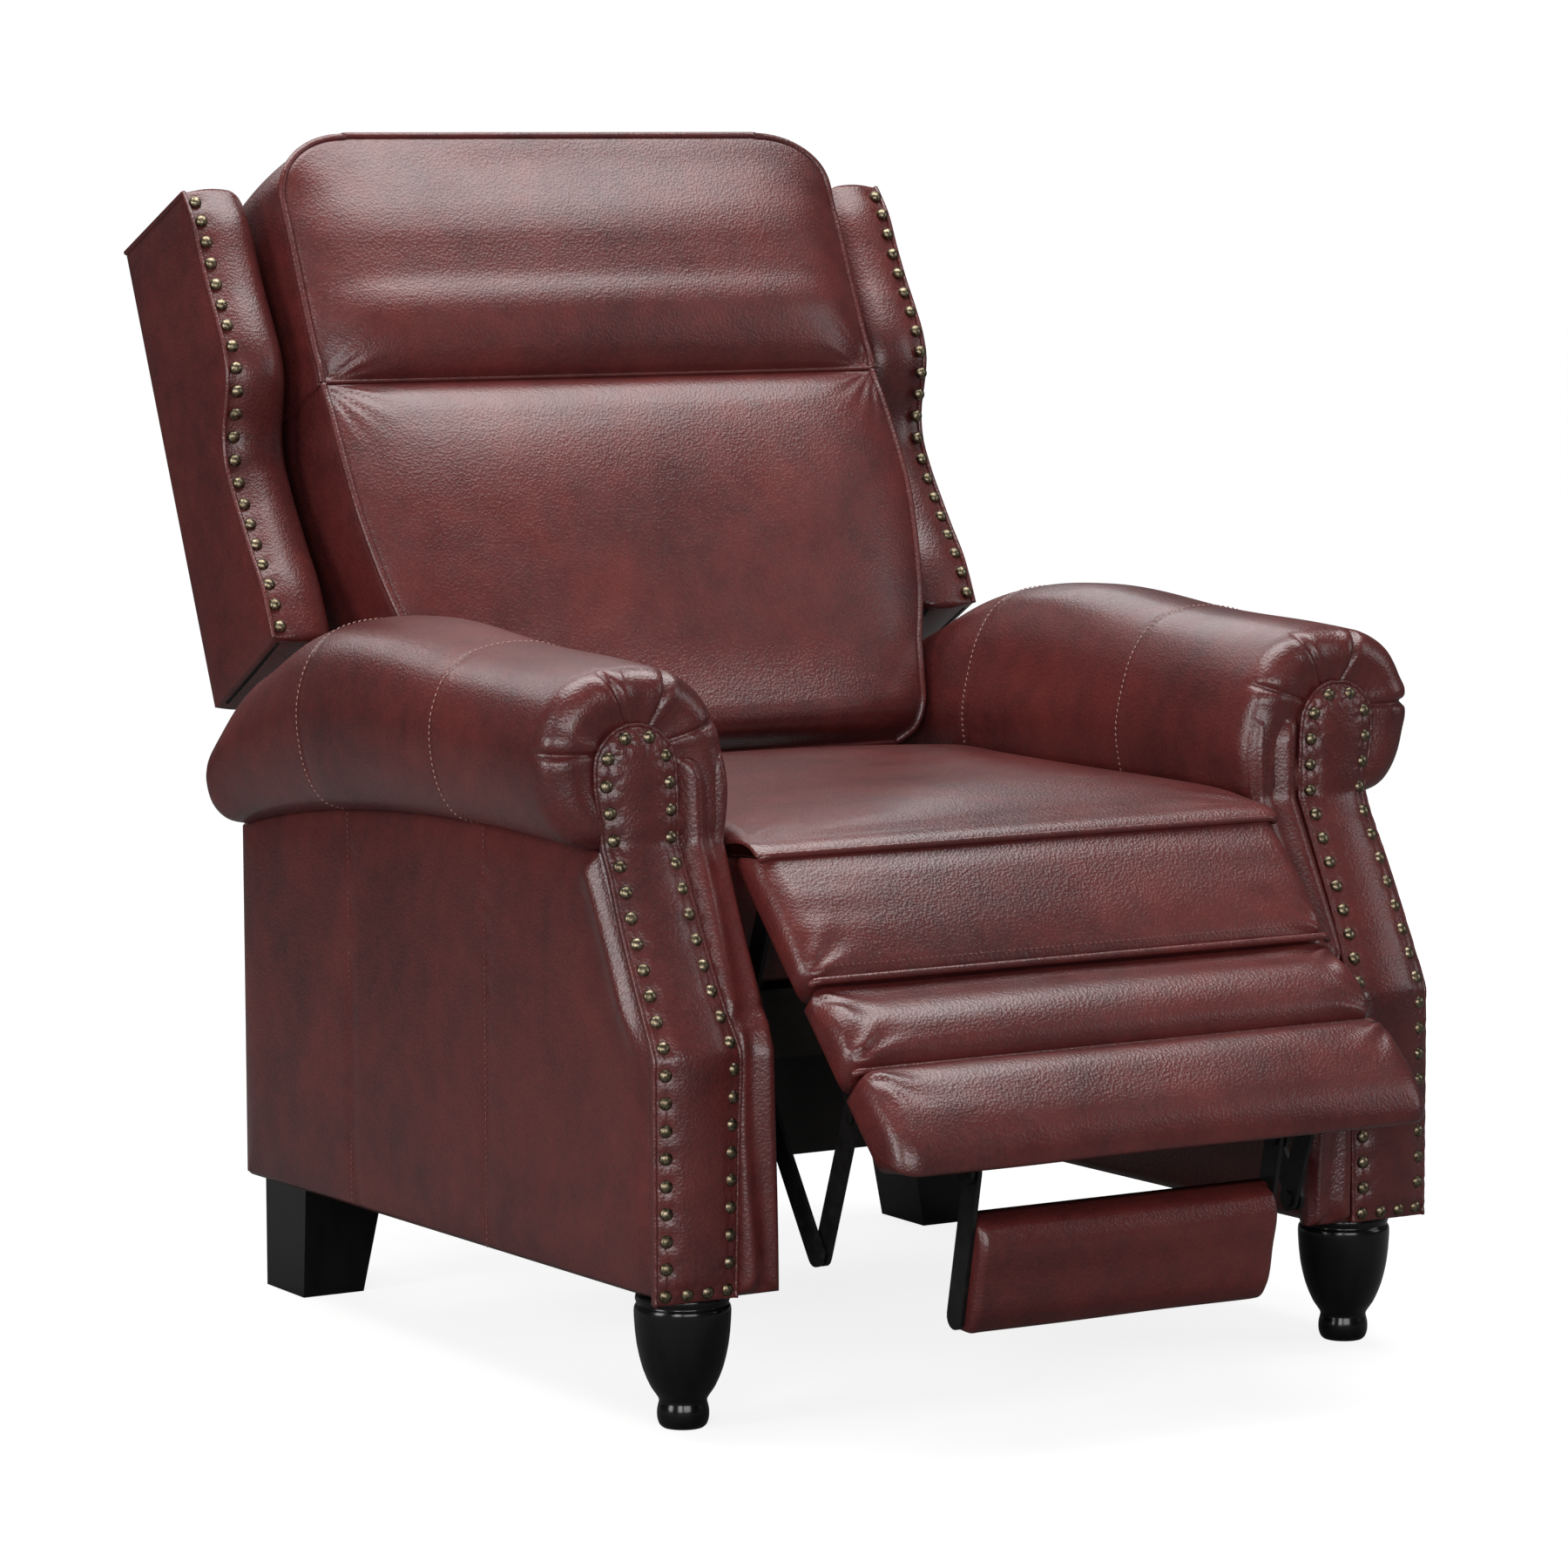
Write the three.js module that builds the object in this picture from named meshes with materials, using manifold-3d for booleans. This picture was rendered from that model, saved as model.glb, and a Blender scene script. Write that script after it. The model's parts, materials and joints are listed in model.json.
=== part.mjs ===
// Wingback recliner with rolled arms, a tilting seat and back, and a linkage footrest.
// Millimetres, +Z up, the front faces -Y. The pose is half open, as it stands in use.
import * as THREE from 'three';
import { mergeVertices } from 'three/addons/utils/BufferGeometryUtils.js';
import Module from 'manifold-3d';

const wasm = await Module();
wasm.setup();

// Fits shared by the pieces
const touchGap = 0.3;
const runningGap = 0.3;
const overrun = 2;

// Arms
const armInnerX = 271;
const armOuterX = 392;
const armBottomZ = 113;
const armSeamZ = 484;
const armTopZ = 648;
const armLowFrontY = -517;
const armHighFrontY = -429;
const armKneeZ = 320;
const armRearY = 257;
const armEdgeRound = 7;
const armSeamShares = [[0, 0.992], [0.19, 1], [0.4, 0.998], [0.6, 0.983], [0.81, 0.95], [0.946, 0.915],
  [1, 0.897]];
const armTopShares = [[0, 0.979], [0.09, 0.984], [0.3, 0.989], [0.535, 1], [0.635, 0.991], [0.735, 0.967],
  [0.83, 0.926], [0.91, 0.888], [0.965, 0.838], [1, 0.802]];
const coreThickness = 20;
const coreX = 322;
const coreTopZ = 425;
const coreFrontY = -412;
const coreRearY = 205;

// Rolled arm tops
const rollInnerX = 262;
const rollOuterX = 443;
const rollRearOuterX = 430;
const rollEndRound = 13;
const rollRingShares = [[0.718, 0], [0.862, 0.06], [0.961, 0.24], [1, 0.5], [0.972, 0.7], [0.895, 0.86],
  [0.762, 0.96], [0.575, 1], [0.376, 0.985], [0.21, 0.9], [0.1, 0.74], [0.033, 0.52], [0, 0.3], [0.022, 0.1],
  [0.05, 0]];
const rollFrontShare = 0.035;

// Nailed front panels of the arms
const panelThickness = 9.7;
const panelInnerX = 316;
const panelTopZ = 600;
const panelTopX = 358;
const panelCrown = 5;
const panelEdgeRound = 6;
const panelKneeShare = (armKneeZ - armBottomZ) / (panelTopZ - armBottomZ);
const panelTopShares = [[0, 0, 1], [panelKneeShare, 0, 1], [0.75, 0.05, 1.02], [0.86, 0.1, 1], [0.93, 0.26, 0.88],
  [0.975, 0.42, 0.72], [0.99, 0.5, 0.62]];

// Legs
const legHeight = armBottomZ - touchGap;
const legX = 340;
const frontLegY = -477;
const frontLegRadius = 46;
const legSides = 20;
const legProfileShares = [[0, 0], [0.46, 0], [0.54, 0.045], [0.54, 0.14], [0.48, 0.185], [0.5, 0.21],
  [0.57, 0.29], [0.75, 0.46], [0.93, 0.64], [1, 0.765], [0.96, 0.84], [0.79, 0.87], [0.79, 0.885], [0.97, 0.9],
  [1, 0.95], [0.97, 1], [0, 1]];
const rearLegOuterX = 371;
const rearLegSetback = 3;
const rearLegWidth = 62;
const rearLegDepth = 78;
const rearLegInnerTaper = 22;
const rearLegFrontTaper = 7;

// Base between the arms
const railDepth = 35;
const frontRailY = -225;
const frontRailBottomZ = 171;
const frontRailShoulderZ = 250;
const frontRailTopZ = 262;
const frontRailTopHalf = 222;
const rearRailY = 158;
const rearRailShoulderHeight = 45;
const rearRailHeight = 120;

// Steel plates of the mechanism, in planes side by side
const plate = 4;
const plateStep = 7;
const bracketX = 231;
const sidePlateX = bracketX + plateStep;
const linkX = sidePlateX + plateStep;
const baseRailX = linkX + plateStep;
const pinRadius = 4;
const pinHeadRadius = 7.5;
const pinHead = 2.1;
const linkRadius = 11;
const roundSteps = 8;
const pinSides = 12;

// Base rails and the swing links that carry the seat
const baseRailHeight = 38;
const baseRailFrontY = -330;
const baseRailRearY = 182;
const swingLength = 85;
const frontSwingY = -285;
const rearSwingY = 50;
const swingLowZ = 187;
const tubeRadius = 9;
const tubeY = 90;

// Seat
const seatHalfWidth = 266;
const seatTopZ = 490;
const seatCrown = 11;
const seatRearY = 80;
const seatFrontY = -398;
const seatEdgeRound = 16;
const seatLipTurn = Math.PI * 0.42;
const seatTopShares = [0.07, 0.18, 0.36, 0.55, 0.74, 0.9];
const seatEdgeCrownShares = [0.3, 0.7, 0.3];
const frameHalfWidth = sidePlateX - plate / 2 - touchGap;
const frameBottomZ = 283;
const frameHeight = 60;
const frameBar = 45;
const frameFrontY = -375;
const frameRearY = 60;
const springWire = 2;
const springRise = 7;
const springSwing = 17;
const springWaves = 8;
const springStepsPerWave = 6;
const springSides = 5;
const seatSpringX = [-160, -55, 55, 160];
const sidePlateTopZ = 343;
const sidePlateBottomZ = 302;

// Footrest, whose hinge lies inside the rolled front edge of the seat
const hingeY = -455;
const hingeZ = 452;
const footrestOpening = Math.PI / 4;
const noseRadius = 30;
const noseClearance = 3;
const noseSteps = 7;
const padHalfWidth = 266;
const padBack = 15;
const padEdgeRound = 12;
const boardThickness = 12;
const boardTop = 10;
const boardLength = 280;
const frontPadLength = 124;
const channelPadLength = 94;
const mainPadLength = 114;
const padSeam = 1.5;
const mainPadUndercut = 13;
const slotGap = 2;
const slotReachShare = 0.66;
const slotClearShare = 4;

// Footrest linkage: a parallelogram of hinge, anchor, bracket pin and knee
const anchorBack = 45.5;
const anchorDrop = 122;
const bracketPinBack = 42;
const bracketPinDrop = 219.5;

// Flipper below the footrest
const flipperPivotInset = 2;
const flipperPivotBack = 38;
const flipperFold = footrestOpening + Math.PI * 0.0656;
const flipperHalfWidth = 150;
const flipperTop = 42;
const flipperLength = 99;
const flipperBoard = 11;
const flipperFace = 18;
const flipperEdgeRound = 7;
const flipperArmX = flipperHalfWidth + touchGap + plate / 2;
const flipperLugX = flipperArmX + plateStep;

// Back
const backOriginY = 322;
const backOriginZ = 542;
const backTilt = Math.PI * 0.1311;
const backHingeY = 130;
const backHingeZ = 400;
const backFrameFront = 45;
const backFrameDepth = 35;
const backFrameBottom = -150;
const backFrameTop = 455;
const backFrameArch = 14;
const backFrameBar = 42;
const backFrameLowHalfWidth = linkX - plate / 2 - touchGap;
const backFrameWidenFrom = 40;
const backFrameWidenTo = 72;
const backSpringPitch = 160;
const backSpringBottom = 15;
const backSpringCount = 3;
const cushionHalfWidth = 300;
const cushionLowHalfWidth = 261;
const headSeam = 252;
const headHeight = 249;
const headArch = 3;
const headDepth = 206;
const lumbarBottom = -134;
const lumbarDepth = 229;
const coverThickness = 21;
const coverBottom = -162;
const coverTop = 470;

// Wings
const wingInnerX = 309;
const wingOuterX = 385;
const wingHeight = 461;
const wingDepth = 158;
const wingEdgeRound = 9;
const wingOutlineShares = [[0, 0], [1, 0], [1, 0.87], [0.96, 0.93], [0.86, 0.94], [0.76, 0.955], [0.69, 0.985],
  [0.62, 1], [0.57, 0.975], [0.52, 0.895], [0.46, 0.79], [0.41, 0.745], [0.35, 0.745], [0.26, 0.79],
  [0.15, 0.865], [0.08, 0.895], [0.035, 0.9]];
const wingBoardThickness = 18;
const wingBoardX = 338;
const wingBoardShares = [[0.06, 0.62], [0.94, 0.62]];
const underCloth = 2;
const underClothShares = [0.04, 0.96];

// Materials
function material(color, roughness, metalness) {
  return new THREE.MeshStandardMaterial({ color, roughness, metalness });
}
const leather = () => material(0x4a1512, 0.38, 0);
const hardwood = () => material(0x9a7448, 0.7, 0);
const blackWood = () => material(0x120f0e, 0.25, 0);
const steel = () => material(0x1c1c1e, 0.4, 0.9);
const springSteel = () => material(0x6a6c70, 0.35, 1);
const blackCloth = () => material(0x101010, 0.95, 0);

// Points and interpolation
function at(y, z) {
  return new THREE.Vector2(y, z);
}

function rectangle(x0, y0, x1, y1) {
  return [at(x0, y0), at(x1, y0), at(x1, y1), at(x0, y1)];
}

function along(table, t) {
  const last = table.length - 1;
  if (t <= table[0][0]) {
    return table[0][1];
  }
  for (let i = 0; i < last; i += 1) {
    const [t0, v0] = table[i];
    const [t1, v1] = table[i + 1];
    if (t <= t1) {
      return v0 + (v1 - v0) * (t - t0) / (t1 - t0);
    }
  }
  return table[last][1];
}

function arc(centre, radius, from, to, steps) {
  const points = [];
  for (let i = 0; i <= steps; i += 1) {
    const angle = from + (to - from) * i / steps;
    points.push(at(centre.x + radius * Math.cos(angle), centre.y + radius * Math.sin(angle)));
  }
  return points;
}

// Solids: from a closed geometry to a manifold and back
function solid(geometry) {
  const bare = geometry.clone();
  bare.deleteAttribute('normal');
  bare.deleteAttribute('uv');
  const merged = mergeVertices(bare);
  return new wasm.Manifold(new wasm.Mesh({
    numProp: 3,
    vertProperties: merged.attributes.position.array,
    triVerts: merged.index.array,
  }));
}

function surface(body) {
  const { vertProperties, triVerts } = body.getMesh();
  const geometry = new THREE.BufferGeometry();
  geometry.setAttribute('position', new THREE.Float32BufferAttribute(vertProperties, 3));
  geometry.setIndex(Array.from(triVerts));
  geometry.computeVertexNormals();
  return geometry;
}

function signedVolume(geometry) {
  const p = geometry.attributes.position;
  const index = geometry.index;
  let six = 0;
  const [a, b, c] = [new THREE.Vector3(), new THREE.Vector3(), new THREE.Vector3()];
  for (let i = 0; i < index.count; i += 3) {
    a.fromBufferAttribute(p, index.getX(i));
    b.fromBufferAttribute(p, index.getX(i + 1));
    c.fromBufferAttribute(p, index.getX(i + 2));
    six += a.dot(b.cross(c));
  }
  return six;
}

function flipped(geometry) {
  const turned = [];
  const index = geometry.index;
  for (let i = 0; i < index.count; i += 3) {
    turned.push(index.getX(i), index.getX(i + 2), index.getX(i + 1));
  }
  geometry.setIndex(turned);
  return geometry;
}

// A closed loft through rings of equal count, with a fan at each end
function loft(rings) {
  const count = rings[0].length;
  const points = rings.flat();
  const ends = [rings[0], rings[rings.length - 1]].map((ring) => {
    const middle = ring.reduce((sum, p) => sum.add(p), new THREE.Vector3()).divideScalar(count);
    points.push(middle);
    return points.length - 1;
  });
  const faces = [];
  const lastRing = (rings.length - 1) * count;
  for (let i = 0; i < count; i += 1) {
    const next = (i + 1) % count;
    for (let r = 0; r < lastRing; r += count) {
      faces.push(r + i, r + next, r + count + next, r + i, r + count + next, r + count + i);
    }
    faces.push(ends[0], next, i, ends[1], lastRing + i, lastRing + next);
  }
  const geometry = new THREE.BufferGeometry().setFromPoints(points);
  geometry.setIndex(faces);
  if (signedVolume(geometry) < 0) {
    flipped(geometry);
  }
  geometry.computeVertexNormals();
  return geometry;
}

// An outline in (y, z), holes and all, extruded along x and centred on x = 0
function acrossX(outline, width, holes = [], round = 0) {
  const shape = new THREE.Shape(outline);
  shape.holes = holes.map((hole) => new THREE.Path(hole));
  const geometry = new THREE.ExtrudeGeometry(shape, {
    depth: width - 2 * round,
    bevelEnabled: round > 0,
    bevelThickness: round,
    bevelSize: round,
    bevelOffset: -round,
    bevelSegments: 2,
  });
  geometry.translate(0, 0, round - width / 2);
  const turn = new THREE.Matrix4();
  turn.makeBasis(new THREE.Vector3(0, 1, 0), new THREE.Vector3(0, 0, 1), new THREE.Vector3(1, 0, 0));
  return geometry.applyMatrix4(turn);
}

// Placing: single pieces, and pairs that mirror each other in x = 0
function add(group, name, geometry, look, position = [0, 0, 0]) {
  const mesh = new THREE.Mesh(geometry, look());
  mesh.name = name;
  mesh.position.set(...position);
  group.add(mesh);
  return mesh;
}

function mirrored(geometry) {
  const copy = geometry.index ? geometry.clone() : mergeVertices(geometry.clone());
  return flipped(copy.scale(-1, 1, 1));
}

function addPair(group, name, geometry, look, position) {
  const [x, y, z] = position;
  add(group, `${name}_left`, geometry, look, [x, y, z]);
  add(group, `${name}_right`, mirrored(geometry), look, [-x, y, z]);
}

function jointGroup(parent, y, z, turn = 0) {
  const group = new THREE.Group();
  group.position.set(0, y, z);
  group.rotation.x = turn;
  parent.add(group);
  return group;
}

const chair = new THREE.Group();
const base = jointGroup(chair, 0, 0);
const seat = jointGroup(chair, 0, 0);

// Arms: height of the seam and of the roll's top at a place along the arm
const armLength = armRearY - armHighFrontY;

function seamHeight(y) {
  return armSeamZ * along(armSeamShares, (y - armHighFrontY) / armLength);
}

function rollTop(y) {
  return armTopZ * along(armTopShares, (y - armHighFrontY) / armLength);
}

function armFrontY(z) {
  const lean = THREE.MathUtils.clamp((z - armKneeZ) / (armSeamZ - armKneeZ), 0, 1);
  return armLowFrontY + (armHighFrontY - armLowFrontY) * lean;
}

function armSide() {
  const outline = [at(armLowFrontY, armBottomZ), at(armRearY, armBottomZ)];
  for (const [share] of [...armSeamShares].reverse()) {
    const y = armHighFrontY + armLength * share;
    outline.push(at(y, seamHeight(y) - touchGap));
  }
  outline.push(at(armLowFrontY, armKneeZ));
  const width = armOuterX - armInnerX;
  const block = solid(acrossX(outline, width, [], armEdgeRound));
  const slot = new THREE.BoxGeometry(coreThickness, coreRearY - coreFrontY, coreTopZ - armBottomZ + overrun);
  slot.translate(coreX + coreThickness / 2 - (armInnerX + armOuterX) / 2, (coreRearY + coreFrontY) / 2,
    (coreTopZ + armBottomZ - overrun) / 2);
  return surface(block.subtract(solid(slot)));
}

function armCore() {
  const height = coreTopZ - armBottomZ - 2 * touchGap;
  return new THREE.BoxGeometry(coreThickness - 2 * touchGap, coreRearY - coreFrontY - 2 * touchGap, height);
}

function rollRing(y, inset) {
  const outer = y > 0 ? rollOuterX + (rollRearOuterX - rollOuterX) * y / armRearY : rollOuterX;
  const low = seamHeight(y);
  const height = rollTop(y) - low;
  const middle = at((rollInnerX + outer) / 2, height / 2);
  return rollRingShares.map(([across, up]) => {
    const x = rollInnerX + (outer - rollInnerX) * across;
    const inX = x + (middle.x - x) * inset / middle.y;
    const rise = height * up + (middle.y - height * up) * inset / middle.y;
    return new THREE.Vector3(inX, y, low + rise);
  });
}

function armRoll() {
  const front = armHighFrontY + panelThickness / 2 + touchGap;
  const rings = [rollRing(front, rollEndRound), rollRing(front + rollEndRound / 4, rollEndRound / 3)];
  const places = [...armSeamShares, ...armTopShares].map(([place]) => place);
  const inner = [...new Set([rollFrontShare, ...places])].filter((place) => place > 0 && place < 1);
  for (const share of inner.sort((a, b) => a - b)) {
    rings.push(rollRing(armHighFrontY + armLength * share, 0));
  }
  rings.push(rollRing(armRearY, rollEndRound));
  return loft(rings);
}

function armPanel() {
  const rings = panelTopShares.map(([up, inShare, outShare]) => {
    const z = armBottomZ + (panelTopZ - armBottomZ) * up;
    const inner = panelInnerX + (panelTopX - panelInnerX) * inShare;
    const outer = panelTopX + (armOuterX - panelTopX) * outShare;
    const back = armFrontY(z) - touchGap;
    const front = back - panelThickness;
    const half = (outer - inner) / 2;
    const round = Math.min(panelEdgeRound, half / 2);
    const middle = (inner + outer) / 2;
    const edge = front + panelCrown;
    const ring = [[inner, back], [outer, back], [outer, edge], [outer - round, front],
      [middle, front - panelCrown], [inner + round, front], [inner, edge]];
    return ring.map(([x, y]) => new THREE.Vector3(x, y, z));
  });
  return loft(rings);
}

addPair(base, 'arm_side', armSide(), leather, [(armInnerX + armOuterX) / 2, 0, 0]);
addPair(base, 'arm_core', armCore(), hardwood, [coreX + coreThickness / 2, (coreFrontY + coreRearY) / 2,
  (armBottomZ + coreTopZ) / 2]);
addPair(base, 'arm_roll', armRoll(), leather, [0, 0, 0]);
addPair(base, 'arm_front_panel', armPanel(), leather, [0, 0, 0]);

// Legs: turned in front, and behind them blocks that widen towards the middle and the front
function frontLeg() {
  const profile = legProfileShares.map(([r, z]) => at(frontLegRadius * r, legHeight * z));
  return new THREE.LatheGeometry(profile, legSides).rotateX(Math.PI / 2);
}

function rearLegRing(taper, z) {
  const inner = -rearLegWidth - rearLegInnerTaper * taper;
  const front = -rearLegDepth - rearLegFrontTaper * taper;
  return rectangle(inner, front, 0, 0).map((p) => new THREE.Vector3(p.x, p.y, z));
}

function rearLeg() {
  return loft([rearLegRing(0, 0), rearLegRing(1, legHeight)]);
}

addPair(base, 'front_leg', frontLeg(), blackWood, [legX, frontLegY, 0]);
addPair(base, 'rear_leg', rearLeg(), blackWood, [rearLegOuterX, armRearY - rearLegSetback, 0]);

// Wooden rails across the chair, stepped at their ends to clear the steel plates
function steppedRail(half, shoulder, topHalf, top) {
  const side = [at(half, 0), at(half, shoulder), at(topHalf, shoulder), at(topHalf, top)];
  const shape = new THREE.Shape([...side, ...side.map((p) => at(-p.x, p.y)).reverse()]);
  const geometry = new THREE.ExtrudeGeometry(shape, { depth: railDepth, bevelEnabled: false });
  return geometry.rotateX(Math.PI / 2).translate(0, railDepth / 2, 0);
}

const betweenBaseRails = baseRailX - plate / 2 - touchGap;
const frontRail = steppedRail(betweenBaseRails, frontRailShoulderZ - frontRailBottomZ, frontRailTopHalf,
  frontRailTopZ - frontRailBottomZ);
const rearRail = steppedRail(armInnerX - touchGap, rearRailShoulderHeight, betweenBaseRails, rearRailHeight);
add(base, 'front_cross_rail', frontRail, hardwood, [0, frontRailY, frontRailBottomZ]);
add(base, 'rear_cross_rail', rearRail, hardwood, [0, rearRailY, armBottomZ]);

// Outlines and pins of the mechanism
function barOutline(a, b, radius) {
  const direction = Math.atan2(b.y - a.y, b.x - a.x);
  const quarter = Math.PI / 2;
  return [...arc(b, radius, direction - quarter, direction + quarter, roundSteps),
    ...arc(a, radius, direction + quarter, direction + 3 * quarter, roundSteps)];
}

function hole(centre) {
  return arc(centre, pinRadius + runningGap, 0, -2 * Math.PI, pinSides).slice(1);
}

function rod(radius, length, centre, x) {
  const geometry = new THREE.CylinderGeometry(radius, radius, length, pinSides);
  return solid(geometry.rotateZ(Math.PI / 2).translate(x, centre.x, centre.y));
}

// A riveted pin from the face of one plate through the next plate, headed on its far side
function pin(centre, side) {
  const face = plate / 2;
  const shoulder = plateStep - plate - runningGap;
  const through = plateStep + face + runningGap;
  return rod(pinHeadRadius, shoulder, centre, side * (face + shoulder / 2))
    .add(rod(pinRadius, through + pinHead, centre, side * (through + pinHead) / 2))
    .add(rod(pinHeadRadius, pinHead, centre, side * (through + pinHead / 2)));
}

function plateSolid(outline, holes = []) {
  return solid(acrossX(outline, plate, holes.map(hole)));
}

// Steel base rails: an upright web over a foot that lies on the rear rail and along the arm
const railFootZ = armBottomZ + rearRailShoulderHeight + touchGap;
const lowPinZ = swingLowZ - railFootZ;

function baseRail() {
  const halfHeight = baseRailHeight / 2;
  const web = [at(baseRailFrontY, 0), at(baseRailRearY, 0), at(baseRailRearY, baseRailHeight),
    at(baseRailFrontY + halfHeight, baseRailHeight), at(baseRailFrontY, halfHeight)];
  const footWidth = armInnerX - touchGap - baseRailX;
  const foot = new THREE.BoxGeometry(footWidth, baseRailRearY - baseRailFrontY, plate);
  foot.translate(footWidth / 2, (baseRailRearY + baseRailFrontY) / 2, plate / 2);
  return surface(plateSolid(web).add(solid(foot))
    .add(pin(at(frontSwingY, lowPinZ), -1))
    .add(pin(at(rearSwingY, lowPinZ), -1)));
}

addPair(base, 'base_rail', baseRail(), steel, [baseRailX, 0, railFootZ]);
const tube = new THREE.CylinderGeometry(tubeRadius, tubeRadius, 2 * betweenBaseRails, legSides);
tube.rotateZ(Math.PI / 2);
add(base, 'base_cross_tube', tube, steel, [0, tubeY, railFootZ + baseRailHeight / 2]);

// Swing links, upright in the pose of the photograph
function swingLink() {
  const low = at(0, 0);
  const high = at(0, swingLength);
  return surface(plateSolid(barOutline(low, high, linkRadius), [low]).add(pin(high, -1)));
}

for (const [name, y] of [['front_swing_link', frontSwingY], ['rear_swing_link', rearSwingY]]) {
  addPair(jointGroup(chair, y, swingLowZ), name, swingLink(), steel, [linkX, 0, 0]);
}

// Seat frame: a ring of wood between the steel side plates
function ringAlongZ(outer, inner, height) {
  const shape = new THREE.Shape(outer);
  shape.holes = [new THREE.Path(inner)];
  return new THREE.ExtrudeGeometry(shape, { depth: height, bevelEnabled: false });
}

function seatFrameRing(inset) {
  const half = frameHalfWidth - inset;
  return rectangle(-half, frameFrontY + inset, half, frameRearY - inset);
}

const seatFrame = ringAlongZ(seatFrameRing(0), seatFrameRing(frameBar), frameHeight);
add(seat, 'seat_frame', seatFrame, hardwood, [0, 0, frameBottomZ]);

// Zigzag springs: a wire that swings from side to side as it runs and bows outwards
class ZigzagCurve extends THREE.Curve {
  constructor(length, swing, waves, rise) {
    super();
    Object.assign(this, { length, swing, waves, rise });
  }

  getPoint(t, target = new THREE.Vector3()) {
    const sway = this.swing * Math.sin(2 * Math.PI * this.waves * t);
    return target.set(sway, this.length * (t - 0.5), this.rise * Math.sin(Math.PI * t));
  }
}

function zigzag(length, rise) {
  const curve = new ZigzagCurve(length, springSwing, springWaves, rise);
  const section = new THREE.Shape(arc(at(0, 0), springWire, 0, 2 * Math.PI, springSides).slice(1));
  const steps = springWaves * springStepsPerWave;
  return new THREE.ExtrudeGeometry(section, { extrudePath: curve, steps, bevelEnabled: false });
}

const frameTopZ = frameBottomZ + frameHeight;
const seatSpringZ = frameTopZ + springWire + touchGap;
const seatSpringLength = frameRearY - frameFrontY - frameBar;
const seatFrameMiddleY = (frameFrontY + frameRearY) / 2;
seatSpringX.forEach((x, i) => {
  const spring = zigzag(seatSpringLength, springRise);
  add(seat, `seat_spring_${i + 1}`, spring, springSteel, [x, seatFrameMiddleY, seatSpringZ]);
});

// Places across a crowned pad, in shares of its edge rounding and of its half width
const padEdgeShares = [0, 0.25, 0.6, 1];
const padInnerShares = [-0.66, -0.33, 0, 0.33, 0.66];

// A crowned pad: an outline in (y, z) with a crown share at each point, drawn in at both sides
function crownedPad(outline, halfWidth, round, crown, crownTo) {
  const ys = outline.map(([p]) => p.x);
  const zs = outline.map(([p]) => p.y);
  const middle = at((Math.min(...ys) + Math.max(...ys)) / 2, (Math.min(...zs) + Math.max(...zs)) / 2);
  const half = at((Math.max(...ys) - Math.min(...ys)) / 2, (Math.max(...zs) - Math.min(...zs)) / 2);
  const rings = [];
  const edge = padEdgeShares.map((share) => halfWidth - round * (1 - Math.sin(share * Math.PI / 2)));
  const inner = padInnerShares.map((share) => share * halfWidth);
  for (const x of [...edge.map((e) => -e).reverse(), ...inner, ...edge]) {
    const past = Math.max(0, Math.abs(x) - (halfWidth - round)) / round;
    const inset = round * (1 - Math.sqrt(Math.max(0, 1 - past * past)));
    const swell = crown * (1 - (x / halfWidth) ** 2);
    rings.push(outline.map(([p, share = 0]) => {
      const y = p.x + (middle.x - p.x) * Math.min(inset / half.x, 1) + crownTo.x * swell * share;
      const z = p.y + (middle.y - p.y) * Math.min(inset / half.y, 1) + crownTo.y * swell * share;
      return new THREE.Vector3(x, y, z);
    }));
  }
  return loft(rings);
}

// Seat cushion, hollowed at its front edge round the footrest hinge
const hinge = at(hingeY, hingeZ);

function seatCushion() {
  const bottom = seatSpringZ + springRise + springWire + touchGap;
  const rearRound = seatRearY - seatEdgeRound;
  const reach = noseRadius + noseClearance;
  const start = Math.asin(-seatEdgeRound / 2 / reach);
  const hollow = arc(hinge, reach, start, seatLipTurn, noseSteps).map((p) => [p]);
  const lip = hollow[hollow.length - 1][0];
  const length = rearRound - lip.x;
  const top = seatTopShares.map((share) => [at(lip.x + length * share, seatTopZ + noseClearance), 1]);
  const [lipCrown, rearCrown, edgeCrown] = seatEdgeCrownShares;
  const outline = [
    ...hollow,
    [at(lip.x, lip.y + noseClearance), lipCrown],
    ...top,
    [at(rearRound, seatTopZ), rearCrown],
    [at(seatRearY - seatEdgeRound / 4, seatTopZ - seatEdgeRound / 2), edgeCrown],
    [at(seatRearY, seatTopZ - 2 * seatEdgeRound)],
    [at(seatRearY, bottom + seatEdgeRound)],
    [at(rearRound, bottom)],
    [at((seatFrontY + rearRound) / 2, bottom)],
    [at(seatFrontY + seatEdgeRound, bottom)],
    [at(seatFrontY, bottom + seatEdgeRound)],
  ];
  return crownedPad(outline, seatHalfWidth, seatEdgeRound, seatCrown, at(0, 1));
}

add(seat, 'seat_cushion', seatCushion(), leather);

// Steel side plates of the seat: footrest hinge in front, lugs for the swing links, a riser for the back
const anchor = at(hingeY + anchorBack, hingeZ - anchorDrop);
const backHinge = at(backHingeY, backHingeZ);
const swingTopZ = swingLowZ + swingLength;

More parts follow.
